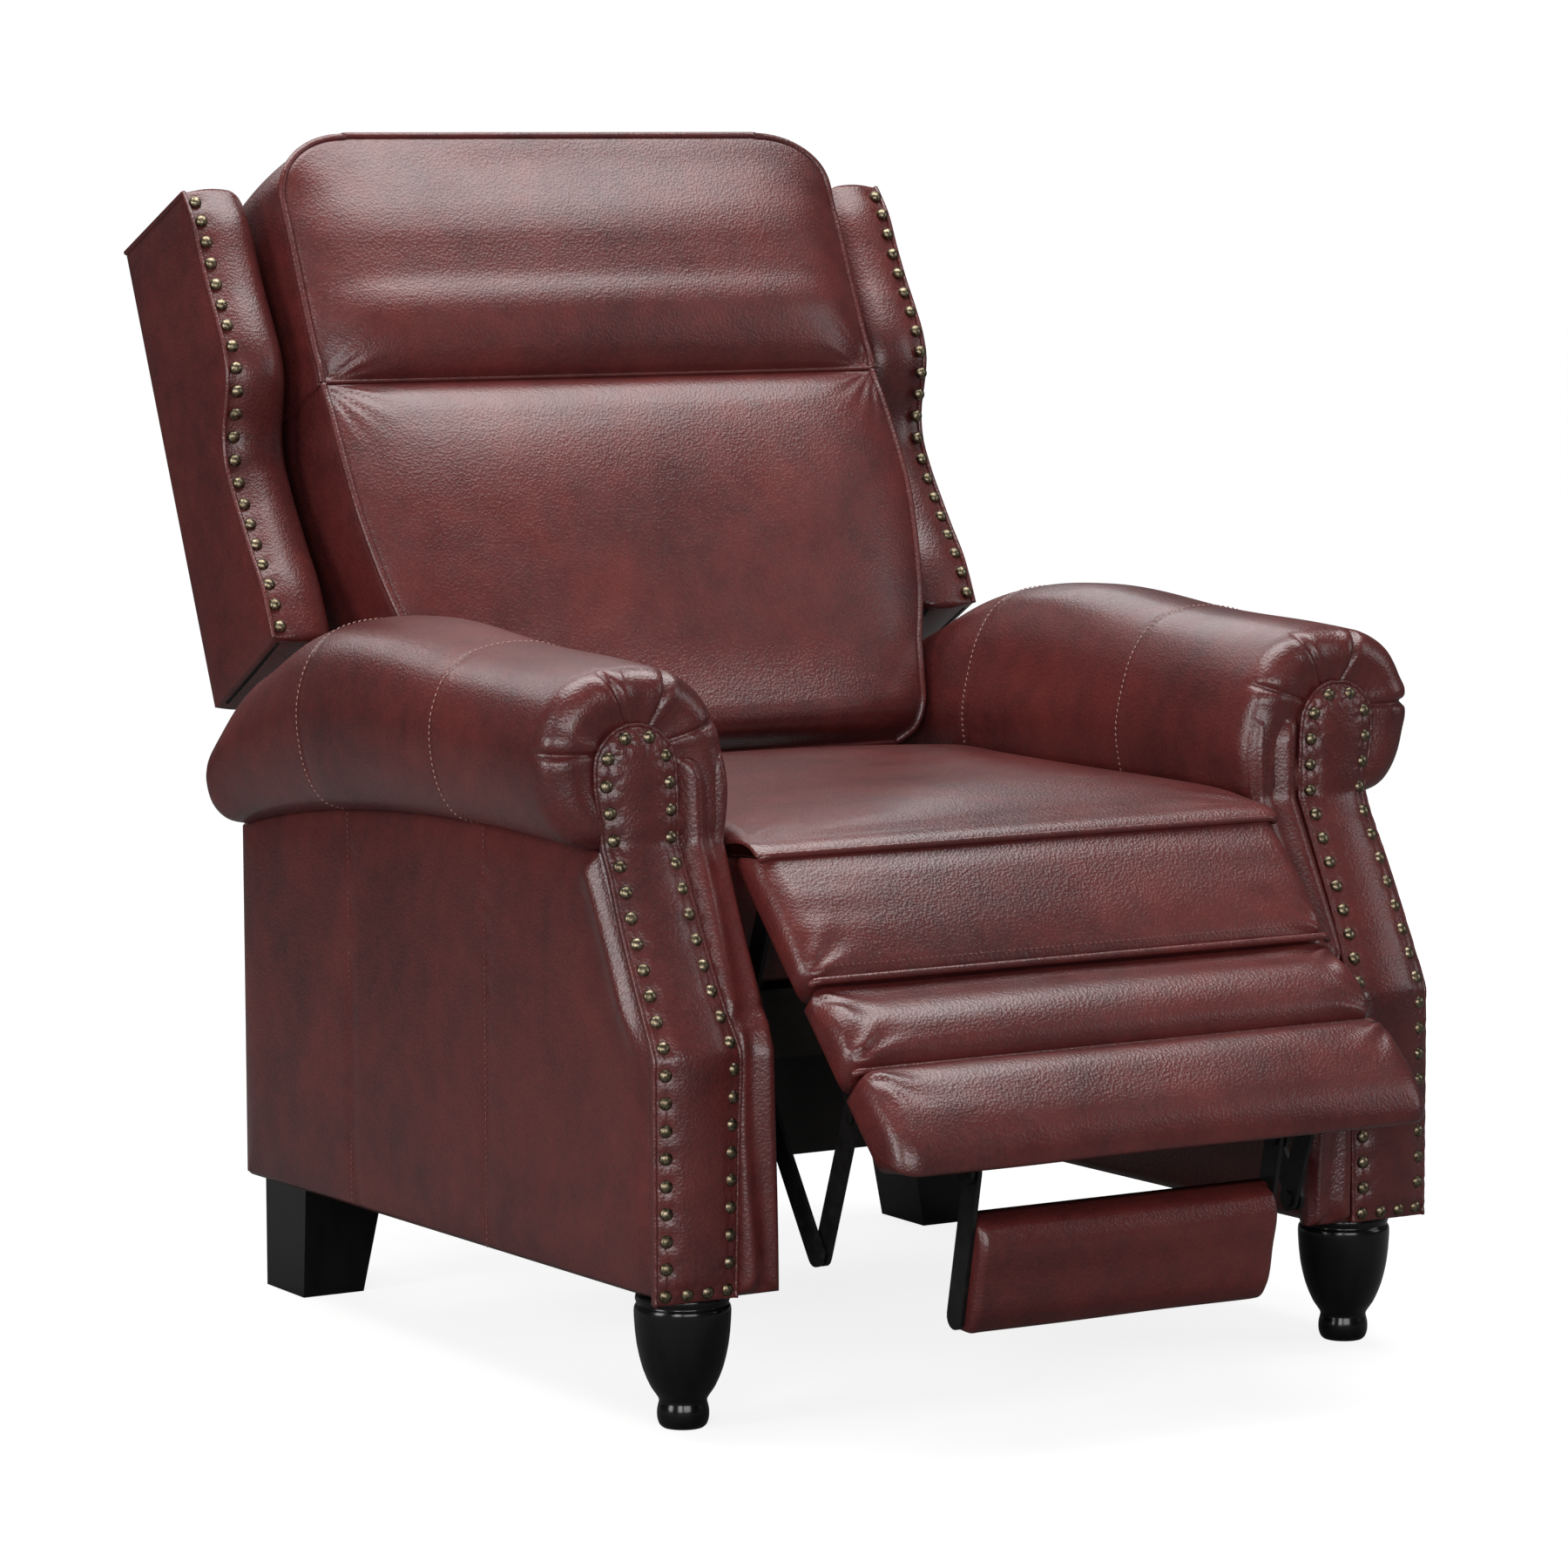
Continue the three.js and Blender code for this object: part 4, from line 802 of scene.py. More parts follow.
class RECLINER_OT_wings(bpy.types.Operator):
    """Build the padded wings with their welts and nail heads"""
    bl_idname = "recliner.wings"
    bl_label = "Wings"

    def execute(self, context):
        rows, cols = 72, 36
        waves = sizes().rumple
        nails_low, nails_high, nail_inset = 26.0, WING_HEIGHT - 12, 10.0

        def outline(i, j):
            w = (follow(WING_FRONT, WING_HEIGHT * i) + 6) * j - 6
            foot = wing_foot(w)
            return foot + (WING_HEIGHT - foot) * i, w

        def relief(u, w, d, face):
            return waves * (1.0 if face else 0.6) * rumple(back(0, u, w), 0.08, 1 + face) * smooth(d / 20)

        def build(name, side, word):
            u = np.linspace(nails_low, nails_high, 400)
            path = back(side * (WING_OUTER - nail_inset), u, follow(WING_FRONT, u) + 3.5)
            points, aheads = resample(path, pitch=sizes().nail_pitch * 0.97)
            normals = np.cross(aheads, (1.0, 0, 0))
            normals *= np.sign(normals @ (back(0, 0, 1) - back(0, 0, 0)))[:, None]
            nails = np.linspace(nails_low, nails_high, len(points))

            def pucker(u, w, t):
                deep = abs(t * (WING_OUTER - WING_INNER) - nail_inset)
                near = np.abs(u[:, None] - nails[None, :]).min(1)
                crown = 3.2 * math.sin(math.pi * min(1, t * 1.15))
                return crown - 1.6 * bump(near, 7) * bump(deep, 9) * (w > 60)

            seams = pad(name, "back", [f"wing_{word}"], outline, lambda u, w, x: back(side * x, u, w),
                        level(WING_OUTER - 3), level(WING_INNER + 8), rows=rows, cols=cols, crown=(3.5, 8),
                        soft=(16, 22), bulge=1, rounds=(0, 20), band=pucker, relief=relief, steps=18, fill=0.7)
            front_edge = seam_part(seams[0], rows, cols, "right", "high")
            welt(name.replace("wing", "wing_welt"), front_edge, "back", 2.6)
            nail_heads(name.replace("wing", "wing_nails"), points, normals, "back")

        both_sides("wing_leather", build)
        return {"FINISHED"}


def arm_front(z):
    """How far forward the front of the arm stands at a height."""
    t = np.clip((np.asarray(z, float) - ARM_KNEE) / (ARM_SEAM - ARM_KNEE), 0, 1)
    return ARM_LOW_FRONT + (ARM_HIGH_FRONT - ARM_LOW_FRONT) * t


ARM_LENGTH = ARM_REAR - ARM_HIGH_FRONT
# Rows of (share of the arm's length, share of its height): the seam below the roll, and the roll's top
SEAM_CURVE = [(0, 0.992), (0.19, 1), (0.4, 0.998), (0.6, 0.983), (0.81, 0.95), (0.946, 0.915), (1, 0.897)]
TOP_CURVE = [(0, 0.974), (0.09, 0.979), (0.3, 0.987), (0.535, 1.003), (0.635, 0.996), (0.735, 0.973),
             (0.83, 0.931), (0.91, 0.892), (0.965, 0.841), (1, 0.804)]
REAR_SAG = 12.0


def along_arm(height, curve, y):
    return height * follow(curve, (np.asarray(y, float) - ARM_HIGH_FRONT) / ARM_LENGTH)


def arm_seam(y):
    return along_arm(ARM_SEAM, SEAM_CURVE, y)


def roll_top(y):
    return along_arm(ROLL_TOP, TOP_CURVE, y)


class RECLINER_OT_arm_sides(bpy.types.Operator):
    """Build the padded sides of the arms with their stitched seams"""
    bl_idname = "recliner.arm_sides"
    bl_label = "Arm Sides"

    def execute(self, context):
        waves = sizes().rumple

        def outline(i, j):
            top = arm_seam(ARM_HIGH_FRONT + ARM_LENGTH * j) + 4
            bottom = ARM_BOTTOM + 3 - REAR_SAG * j
            z = bottom + (top - bottom) * i
            front = arm_front(z) + 1
            return front + (ARM_REAR + 8 - front) * j, z

        def relief(y, z, d, face):
            if face:
                return waves * rumple(chair(0, y, z), 0.12, 3) * smooth(d / 25)
            seams = sum(1.7 * bump(y - place, 2.6) for place in SEAM_PLACES)
            leaning = smooth((z - ARM_KNEE + 12) / 50) * smooth((515 - z) / 40)
            fold = 9.0 * bump(y - arm_front(z) - 20, 14) * leaning
            tension = 0.9 * np.sin((y + 0.35 * z) / 21) * bump(z - ARM_SEAM, 90)
            return (waves * 1.3 * rumple(chair(0, y, z), 0.13, 1) + tension + fold) * smooth(d / 25) - seams

        def build(name, side, word):
            pad(name, "base", [f"arm_side_{word}"], outline, lambda y, z, x: chair(side * x, y, z),
                level(ARM_OUTER - 5), level(ARM_INNER + 4), rows=60, cols=110, crown=(5, 3), soft=(14, 14),
                rounds=(5, 8), relief=relief, steps=16, fill=0.8)
            for n, y in enumerate(SEAM_PLACES, 1):
                z = np.linspace(ARM_BOTTOM + 4, float(arm_seam(y)) - 4, 60)
                stitches(f"arm_stitch_{word}_{n}", chair(side * ARM_OUTER, y + 3.5, z), (side, 0, 0), "base")

        both_sides("arm_side_leather", build)
        return {"FINISHED"}


# Rows of (share of the roll's width, share of its height), from its outer foot round to its inner foot
ROLL_SHARES = [(0.718, 0), (0.862, 0.06), (0.961, 0.24), (1, 0.5), (0.972, 0.7), (0.895, 0.86),
               (0.762, 0.96), (0.575, 1), (0.376, 0.985), (0.21, 0.9), (0.1, 0.74), (0.033, 0.52), (0, 0.3),
               (0.022, 0.1), (0.05, 0)]


def closed_curve(points, per_span):
    """A smooth ring through points, straight across its last span."""
    pts = np.array(points, float)
    out = []
    for k in range(len(pts) - 1):
        p0, p1, p2, p3 = pts[max(k - 1, 0)], pts[k], pts[k + 1], pts[min(k + 2, len(pts) - 1)]
        for t in np.linspace(0, 1, per_span, endpoint=False):
            bend, twist = 2 * p0 - 5 * p1 + 4 * p2 - p3, 3 * p1 - p0 - 3 * p2 + p3
            out.append(0.5 * (2 * p1 + (p2 - p0) * t + bend * t * t + twist * t ** 3))
    for t in np.linspace(0, 1, 12, endpoint=False):
        out.append(pts[-1] + (pts[0] - pts[-1]) * t)
    return np.array(out)


ROLL_UNIT = closed_curve(ROLL_SHARES, 14)
ROLL_CENTRE = (354.0, 560.0)
ROLL_FRONT = -438.0
# Rows of (y, how far the ring is drawn in), round the front lip of the roll
ROLL_LIP = [(-431.5, 56), (-433.0, 48), (-435.0, 40), (-437.3, 33), (-438.5, 26), (-438.0, 18.5),
            (-435.0, 11), (-430.0, 5.4), (-423.0, 1.5), (-415.0, 0)]
# Rows of (angle in degrees, depth, how far back it runs)
PLEATS = ((2, 5.0, 34), (66, 4.6, 30), (114, 4.0, 24), (162, 3.8, 24))


def roll_section(y, inset):
    """The outline of the rolled arm at one place, drawn in by inset."""
    outer = ROLL_OUTER + (ROLL_REAR_OUTER - ROLL_OUTER) * max(0.0, y) / ARM_REAR
    low = float(arm_seam(y))
    height = float(roll_top(y)) - low
    x = ROLL_INNER + (outer - ROLL_INNER) * ROLL_UNIT[:, 0]
    z = low + height * ROLL_UNIT[:, 1]
    cx, cz = (ROLL_INNER + outer) / 2, low + height / 2
    reach = np.hypot(x - cx, z - cz)
    share = np.clip(1 - inset / np.maximum(reach, 1e-6), 0, 1)
    return cx + (x - cx) * share, cz + (z - cz) * share


def roll_ring(y, inset, side, waves):
    """One ring of the rolled arm in row metres, with its waves, its seams and the pleats of its front."""
    x, z = roll_section(y, inset)
    away = np.stack([x, z], -1) - ROLL_CENTRE
    angle = np.degrees(np.arctan2(away[:, 1], away[:, 0]))
    away /= np.linalg.norm(away, axis=1, keepdims=True)
    upper = smooth((z - arm_seam(y) - 14) / 30)
    push = waves * rumple(chair(x, y, z), 0.085, 5) * upper * smooth((y - ROLL_FRONT) / 40)
    push = push - sum(1.6 * bump(y - place, 2.8) for place in SEAM_PLACES) * upper
    forward = 0.0
    for place, depth, reach in PLEATS:
        near = (angle - place + 180) % 360 - 180
        fade = smooth((reach + ROLL_FRONT - y) / reach) if y > ROLL_FRONT else 1.0
        crease = bump(near, 2.0) - 0.4 * bump(near - 8, 6) - 0.25 * bump(near + 8, 7)
        push = push - depth * crease * fade
        forward = forward + depth * 0.8 * crease * (1 if y < -420 else 0)
    return chair(side * (x + away[:, 0] * push), y + forward, z + away[:, 1] * push)


class RECLINER_OT_arm_rolls(bpy.types.Operator):
    """Build the rolled arm tops, with pleats round their fronts"""
    bl_idname = "recliner.arm_rolls"
    bl_label = "Arm Rolls"

    def execute(self, context):
        middle = [(y, 0.0) for y in np.arange(-406, ARM_REAR - 18, 5.5)]
        rear = [(ARM_REAR - 12, 0.0), (ARM_REAR - 6, 2.0), (ARM_REAR - 2, 6.0), (ARM_REAR, 13.0)]

        def build(name, side, word):
            rings = [roll_ring(y, inset, side, sizes().rumple) for y, inset in ROLL_LIP + middle + rear]
            roll = new_object(name, *capped(rings))
            finish_piece(roll, LOOKS["leather"], "base", [f"arm_roll_{word}"])
            for n, y in enumerate(SEAM_PLACES, 1):
                x, z = roll_section(y + 3.5, -0.3)
                arc = slice(4, len(ROLL_UNIT) - 15)
                path = chair(side * x[arc], y + 3.5, z[arc])
                centre = chair(side * ROLL_CENTRE[0], y, 565.0)
                name = f"roll_stitch_{word}_{n}"
                stitches(name, path, path - centre, "base", "pale_thread", (3.6, 1.2, 1.1))

        both_sides("arm_roll_leather", build)
        return {"FINISHED"}


# Rows of (z, x): the two sides of the nailed panel, and the inner side of the strip beside it
PANEL_INNER = [(113, 316), (250, 313), (320, 311), (360, 316), (450, 319), (520, 319), (560, 321)]
PANEL_OUTER = [(113, 392), (320, 392), (430, 391), (470, 389), (500, 391), (530, 396), (560, 397)]
PANEL_ROUND_FROM, PANEL_TOP, PANEL_CROWN = 547.0, 585.0, 9.5
STRIP_INNER = [(113, 271), (480, 271), (530, 267), (590, 283)]
STRIP_TOP = 557.0


def panel_edges(z, inset=0.0):
    """The two sides of the nailed front panel at a height, its round top included."""
    z = np.asarray(z, float)
    inner, outer = follow(PANEL_INNER, z), follow(PANEL_OUTER, z)
    past = np.clip((z - PANEL_ROUND_FROM) / (PANEL_TOP - inset - PANEL_ROUND_FROM), 0, 1)
    share = np.sqrt(np.maximum(0, 1 - past ** 2))
    middle, half = (inner + outer) / 2, (outer - inner) / 2 - inset
    return middle - half * share, middle + half * share


def panel_swell(x, z):
    """How far the front panel is stuffed out, round from side to side."""
    inner, outer = panel_edges(z)
    across = np.clip((2 * x - inner - outer) / np.maximum(outer - inner, 1), -1, 1)
    ends = grown(np.maximum(PANEL_TOP - 0.5 - z, 0), 9) * grown(np.maximum(z - ARM_BOTTOM, 0), 14)
    return PANEL_CROWN * (1 - across ** 2) ** 0.6 * ends


def panel_nails():
    """Centres of the nail heads: up the panel's inner side, over its top, down its outer side, along its foot."""
    inset, foot_z = 9.0, ARM_BOTTOM + 9
    round_height = PANEL_TOP - inset - PANEL_ROUND_FROM
    z = np.concatenate([np.linspace(foot_z, PANEL_ROUND_FROM, 200),
                        PANEL_ROUND_FROM + round_height * np.sin(np.linspace(0.02, math.pi / 2, 60))])
    inner, outer = panel_edges(z, inset)
    x = np.concatenate([inner, outer[::-1]])
    z = np.concatenate([z, z[::-1]])
    points, _ = resample(np.stack([x, arm_front(z), z], -1), pitch=sizes().nail_pitch * 1000)
    foot_x = np.linspace(points[0][0], points[-1][0], 4)[1:-1]
    foot = np.stack([foot_x, np.full(2, arm_front(ARM_BOTTOM)), np.full(2, foot_z)], -1)
    return np.concatenate([points, foot])


class RECLINER_OT_arm_fronts(bpy.types.Operator):
    """Build the nailed front panels of the arms and the padded strips beside them"""
    bl_idname = "recliner.arm_fronts"
    bl_label = "Arm Fronts"

    def execute(self, context):
        rows, cols = 150, 44
        nails = panel_nails()

        def panel_outline(i, j):
            z = ARM_BOTTOM + 1 + (PANEL_TOP - ARM_BOTTOM - 1.5) * np.sin(i * math.pi / 2) ** 0.9
            inner, outer = panel_edges(z)
            return inner + (outer - inner) * j, z

        def pucker(x, z, d, face):
            if face:
                return 0
            gap = np.hypot(x[..., None] - nails[:, 0], z[..., None] - nails[:, 2])
            near = gap.argmin(-1)
            gap = gap.min(-1)
            angle = np.arctan2(z - nails[near, 2], x - nails[near, 0])
            rays = 0.45 * np.sin(angle * 7 + near) * bump(gap - 9, 6)
            along = 0.25 * np.sin(z / 6.5 + x / 19) * smooth((d - 10) / 12)
            return panel_swell(x, z) * smooth(d / 2) - 2.6 * bump(gap, 6.5) + rays + along

        def strip_outline(i, j):
            z = ARM_BOTTOM + 1 + (STRIP_TOP - ARM_BOTTOM) * i
            inner = follow(STRIP_INNER, z)
            edge = panel_edges(np.minimum(z, PANEL_ROUND_FROM))[0] + 2 - smooth((z - 540) / 45) * 2
            return inner + (edge - inner) * j, z

        def creases(x, z, d, face):
            if face:
                return 0
            across = (x - ARM_INNER) / 45
            folds = 3.8 * np.sin(across * 8.5 + 0.9 * np.sin(z / 62) + 0.6)
            above_knee = z - ARM_KNEE + 9 * across
            tuck = 5.0 * bump(above_knee - 34, 3.6) - 3.0 * bump(above_knee - 22, 8)
            return (folds - tuck + 1.2 * rumple(chair(x, 0, z), 0.05, 7)) * smooth(d / 7)

        def build(name, side, word):
            def before_arm(x, z, forward):
                return chair(side * x, -forward, z)

            seams = pad(name, "base", [f"arm_front_panel_{word}"], panel_outline, before_arm,
                        lambda x, z: 7 - arm_front(z), lambda x, z: -0.5 - arm_front(z), rows=rows, cols=cols,
                        bulge=0.5, relief=pucker, steps=4)
            piping = seam_part(seams[0], rows, cols, "right", "high", "left")
            welt(name.replace("panel", "piping"), piping, "base", 1.9)
            pad(name.replace("panel", "strip"), "base", [], strip_outline, before_arm,
                lambda x, z: 1 - arm_front(z), lambda x, z: -9 - arm_front(z), rows=90, cols=26,
                crown=(13, 0), soft=(11, 1), relief=creases, steps=4, fill=0.7)
            step = 2.0
            lean = (arm_front(nails[:, 2] + step) - arm_front(nails[:, 2] - step)) / (2 * step)
            normals = np.stack([np.zeros(len(nails)), -np.ones(len(nails)), lean], -1)
            normals /= np.linalg.norm(normals, axis=1, keepdims=True)
            stand = 4.3 + panel_swell(nails[:, 0], nails[:, 2])
            places = chair(side * nails[:, 0], nails[:, 1] - stand, nails[:, 2])
            nail_heads(name.replace("panel", "nails"), places, normals, "base")

        both_sides("arm_panel_leather", build)
        return {"FINISHED"}


def crosswise(profile, half_width, rounding, place, crown, relief, stations=96):
    """A block across the chair with rounded ends; its side outline has rows of (a, b, rounding share).

    crown(x, a, b) gives how far a point moves along (a, b), and relief(x, a, b) how far out of the skin.
    """
    profile = np.asarray(profile, float)
    line, share = profile[:, :2], profile[:, 2]
    middle, half = (line.max(0) + line.min(0)) / 2, (line.max(0) - line.min(0)) / 2
    normal = outward(line)
    flat_half = half_width - rounding
    ends = [half_width - rounding * (1 - math.sin(s * math.pi / 2)) for s in np.linspace(1, 0, 9)[:-1]]
    places = np.concatenate([ends, np.linspace(1, -1, stations) * flat_half, [-e for e in reversed(ends)]])
    rings = []
    for x in places:
        past = max(0.0, abs(x) - flat_half) / rounding
        inset = rounding * (1 - math.sqrt(max(0.0, 1 - past * past)))
        pts = line + (middle - line) * np.minimum(inset * share[:, None] / half, 1)
        pts = pts + crown(x, *line.T) + normal * relief(x, *line.T)[:, None]
        rings.append(place(x, *pts.T))
    return capped(rings)


def through(points, spacing=5.0):
    """A smooth open line through (a, b, share) rows, sampled about every spacing millimetres."""
    pts = np.asarray(points, float)
    run = run_along(pts[:, :2])
    at = np.linspace(0, run[-1], max(3, int(run[-1] / spacing)))
    return np.stack([follow(list(zip(run, pts[:, k])), at) for k in range(3)], -1)


def about(centre, radius, degrees, share):
    """Rows (a, b, share) about a centre, at angles in degrees."""
    angle = np.radians(degrees)
    a, b = centre[0] + radius * np.cos(angle), centre[1] + radius * np.sin(angle)
    return np.stack([a, b, np.full(len(angle), float(share))], -1)


SEAT_HALF, SEAT_FRONT, SEAT_REAR, SEAT_TOP, SEAT_BOTTOM = 266.0, -398.0, 80.0, 493.0, 351.0
NOSE, SEAT_HOLLOW = 30.0, 33.0
# Rows of (angle in degrees, radius) about the hinge, under the seat's nose
SEAT_LIP = [(74, 32.2), (82, 31.2), (92, 30.7), (104, 30.5), (116, 30.5), (128, 30.5), (136, 30.6)]


def seat_profile():
    """The side outline of the seat cushion: its nose, its top, its rear and its foot, and back to the hinge."""
    roll = about(HINGE, NOSE + 2.2, np.linspace(137, 100, 12), 0.15)
    top = through([roll[-1], (-447, 487.2, 0.45), (-432, 489.8, 0.9), (-405, 492, 1), (-330, SEAT_TOP, 1),
                   (-200, SEAT_TOP, 1), (-60, SEAT_TOP, 1), (30, SEAT_TOP - 0.5, 1),
                   (SEAT_REAR - 24, SEAT_TOP - 3, 1)], 5.5)
    rear = through([(SEAT_REAR - 14, SEAT_TOP - 8, 1), (SEAT_REAR - 3, SEAT_TOP - 22, 1),
                    (SEAT_REAR, SEAT_TOP - 42, 1), (SEAT_REAR, SEAT_BOTTOM + 28, 1),
                    (SEAT_REAR - 5, SEAT_BOTTOM + 9, 1), (SEAT_REAR - 22, SEAT_BOTTOM, 1)], 7)
    under = through([(40, SEAT_BOTTOM, 1), (-160, SEAT_BOTTOM, 1), (SEAT_FRONT + 18, SEAT_BOTTOM, 1)], 22)
    front = through([(SEAT_FRONT + 4, SEAT_BOTTOM + 5, 1), (SEAT_FRONT, SEAT_BOTTOM + 22, 1),
                     (SEAT_FRONT - 12, 415, 0.9), (HINGE[0] + SEAT_HOLLOW * 0.985, HINGE[1] - 9, 0.5)], 7)
    hollow = about(HINGE, SEAT_HOLLOW, np.linspace(-8, 66, 12), 0.3)
    turns, radii = np.array(SEAT_LIP).T
    return np.concatenate([roll, top[1:], rear, under, front, hollow, about(HINGE, radii, turns, 0.15)])


class RECLINER_OT_seat(bpy.types.Operator):
    """Build the seat cushion, whose leather rolls over the front edge to the first welt of the footrest"""
    bl_idname = "recliner.seat"
    bl_label = "Seat"

    def execute(self, context):
        waves, full = sizes().rumple, sizes().crown

        def crown(x, y, z):
            across = 1 - (x / SEAT_HALF) ** 2
            upper = smooth((z - SEAT_BOTTOM - 60) / 60)
            along = smooth((y + 478) / 150) * smooth((SEAT_REAR + 8 - y) / 60)
            off_hinge = smooth((np.hypot(y - HINGE[0], z - HINGE[1]) - 30.4) / 6 + 0.15)
            lift = 9.5 * full * across * upper * (0.24 + 0.76 * along) * off_hinge
            return np.stack([np.zeros_like(lift), lift], -1)

        def relief(x, y, z):
            side = SEAT_HALF - abs(x)
            across = 1 - (x / SEAT_HALF) ** 2
            upper = smooth((z - 440) / 40) * smooth((np.hypot(y - HINGE[0], z - HINGE[1]) - 33.4) / 6)
            folds = 2.2 * np.sin(np.arctan2(y + 470, side + 6) * 11)
            corner = folds * bump(np.hypot(y + 460, side), 55) * smooth((side - 4) / 16)
            sat_in = (2.6 * bump(y + 330, 70) - 2.5 * bump(y + 60, 90)) * across
            return (waves * rumple(chair(x, y, z), 0.12, 3) + corner + sat_in) * upper

        shape = crosswise(seat_profile(), SEAT_HALF, 16, chair, crown, relief)
        cushion = new_object("seat_cushion_leather", *shape)
        finish_piece(cushion, LOOKS["leather"], None, ["seat_cushion"])
        start, end = chair(0, HINGE[0] + 12, HINGE[1] + 33), chair(0, HINGE[0] - 20, HINGE[1] + 25)
        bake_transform(cushion)
        return {"FINISHED"}


# Rows of (s, n), the faces of the footrest's pads, and of (s, n, rounding share), the main pad's undercut foot
FRONT_PAD = [(0, 30.0), (4, 29.4), (30, 30.2), (60, 29.8), (85, 28.4), (104, 26.0), (116, 23.6),
             (122, 20.0), (124, 15.0)]
CHANNEL_PAD = [(127, 13.0), (130, 14.0), (139, 16.5), (148, 21.0), (159, 27.5), (174, 32.0), (194, 33.2),
               (209, 30.5), (215, 26.0), (218, 19.0)]
MAIN_PAD = [(221, 18.0), (223, 26), (229, 33.0), (243, 37.4), (268, 40.0), (296, 39.4), (312, 35.6),
            (322, 30.5), (328, 24.5)]
MAIN_FOOT = [(327.5, 20.5, 1), (319, 11, 1), (311, 2, 1), (303, -7.5, 1), (298, -14.5, 1)]
PAD_HALF, PAD_BACK = 266.0, -14.5
FLIPPER_EDGE = [(41.4, -0.6, 0), (42, 8, 1), (45, 17, 1), (54, 23, 1), (91, 25, 1), (128, 23, 1),
                (139, 17, 1), (141.8, 8, 1), (141.6, -0.6, 0)]
FLIPPER_HALF, FLIPPER_BACK = 150.2, -10.8


def footrest_pad(name, node, rows, closing, seams, full, foot=None):
    """One pad of the footrest: closing is the outline before its face, and foot the outline after it."""
    face = through([(s, n, 1) for s, n in rows], 2.6)
    first, last = face[0][0], face[-1][0]
    foot = foot or [(last, (face[-1][1] + PAD_BACK) / 2, 1), (last, PAD_BACK, 1)]

    def crown(x, s, n):
        across = 1 - (x / PAD_HALF) ** 2
        inside = smooth((s - first) / 24) * smooth((last - s) / 20) * smooth((n + 6) / 14)
        return np.stack([np.zeros_like(n), full * across * inside], -1)

    def relief(x, s, n):
        side = PAD_HALF - abs(x)
        gathers = sum(2.0 * np.sin(np.arctan2(s - at, side + 4) * 12 + at) * bump(np.hypot(s - at, side), 44)
                      * smooth(np.abs(s - at) / 7) for at in seams)
        lengthwise = 0.2 * np.sin(s / 5.2 + 1.5 * math.sin(x / 90)) * bump(side - 40, 60)
        skin_only = smooth((n - 2) / 14) * smooth((side - 3) / 10)
        waves = sizes().rumple * 0.8 * rumple(footrest(x, s, n), 0.08, len(name))
        return (waves + gathers + lengthwise) * skin_only

    shape = crosswise(np.concatenate([closing, face, foot]), PAD_HALF, 19, footrest, crown, relief)
    finish_piece(new_object(name, *shape), LOOKS["leather"], "footrest", [node])


def flipper_pad():
    """The flipper's leather, wrapped round its board."""
    edge = np.concatenate([[(FLIPPER_EDGE[0][0], FLIPPER_BACK, 0)], through(FLIPPER_EDGE, 2.2),
                           [(FLIPPER_EDGE[-1][0], FLIPPER_BACK, 0)]])

    def crown(x, s, n):
        lift = 2.6 * (1 - (x / 150) ** 2) * smooth((s - 44) / 22) * smooth((139 - s) / 22) * smooth(n / 10)
        return np.stack([np.zeros_like(n), lift], -1)

    def relief(x, s, n):
        waves = sizes().rumple * 0.7 * rumple(flipper(x, s, n), 0.06, 9)
        return waves * smooth(n / 12) * smooth((150 - abs(x)) / 14)

    shape = crosswise(edge, FLIPPER_HALF, 7, flipper, crown, relief, stations=60)
    leather = new_object("flipper_leather", *shape)
    finish_piece(leather, LOOKS["leather"], "flipper", ["flipper_pad"])


class RECLINER_OT_footrest(bpy.types.Operator):
    """Build the footrest pads with their welts and topstitching, and the flipper pad"""
    bl_idname = "recliner.footrest"
    bl_label = "Footrest"

    def execute(self, context):
        angle = np.radians(np.linspace(150, 2, 26))
        nose = np.stack([-NOSE * np.sin(angle), NOSE * np.cos(angle), np.full(26, 1.0)], -1)
        nose = np.concatenate([[(-26.1, PAD_BACK, 1)], nose[nose[:, 1] > PAD_BACK + 1]])
        footrest_pad("footrest_front_leather", "footrest_front_pad", FRONT_PAD, nose, (126,), 0.6)
        footrest_pad("footrest_channel_leather", "footrest_channel_pad", CHANNEL_PAD,
                     [(127, PAD_BACK, 1), (127, -3, 1)], (127, 218), 1.4)
        footrest_pad("footrest_main_leather", "footrest_main_pad", MAIN_PAD, [(221, PAD_BACK, 1), (221, 2, 1)],
                     (221,), 2.4, MAIN_FOOT)
        x = np.linspace(-PAD_HALF + 3, PAD_HALF - 3, 120)
        drop = 1 - smooth((PAD_HALF - np.abs(x)) / 9)
        for count, (s, n, dip) in enumerate(((1.4, NOSE + 1.2, 7), (125.6, 20.4, 7), (219.4, 20.5, 5)), 1):
            path = footrest(x, s, n - dip * drop)
            welt(f"footrest_welt_{count}", path, "footrest", sizes().welt_radius * 1000 * 0.92)
        path = footrest(np.linspace(-PAD_HALF + 14, PAD_HALF - 14, 200), 114.5, 24.6)
        stitches("footrest_stitch", path, footrest(0, 0.5, 1) - footrest(0, 0, 0), "footrest")
        flipper_pad()
        return {"FINISHED"}


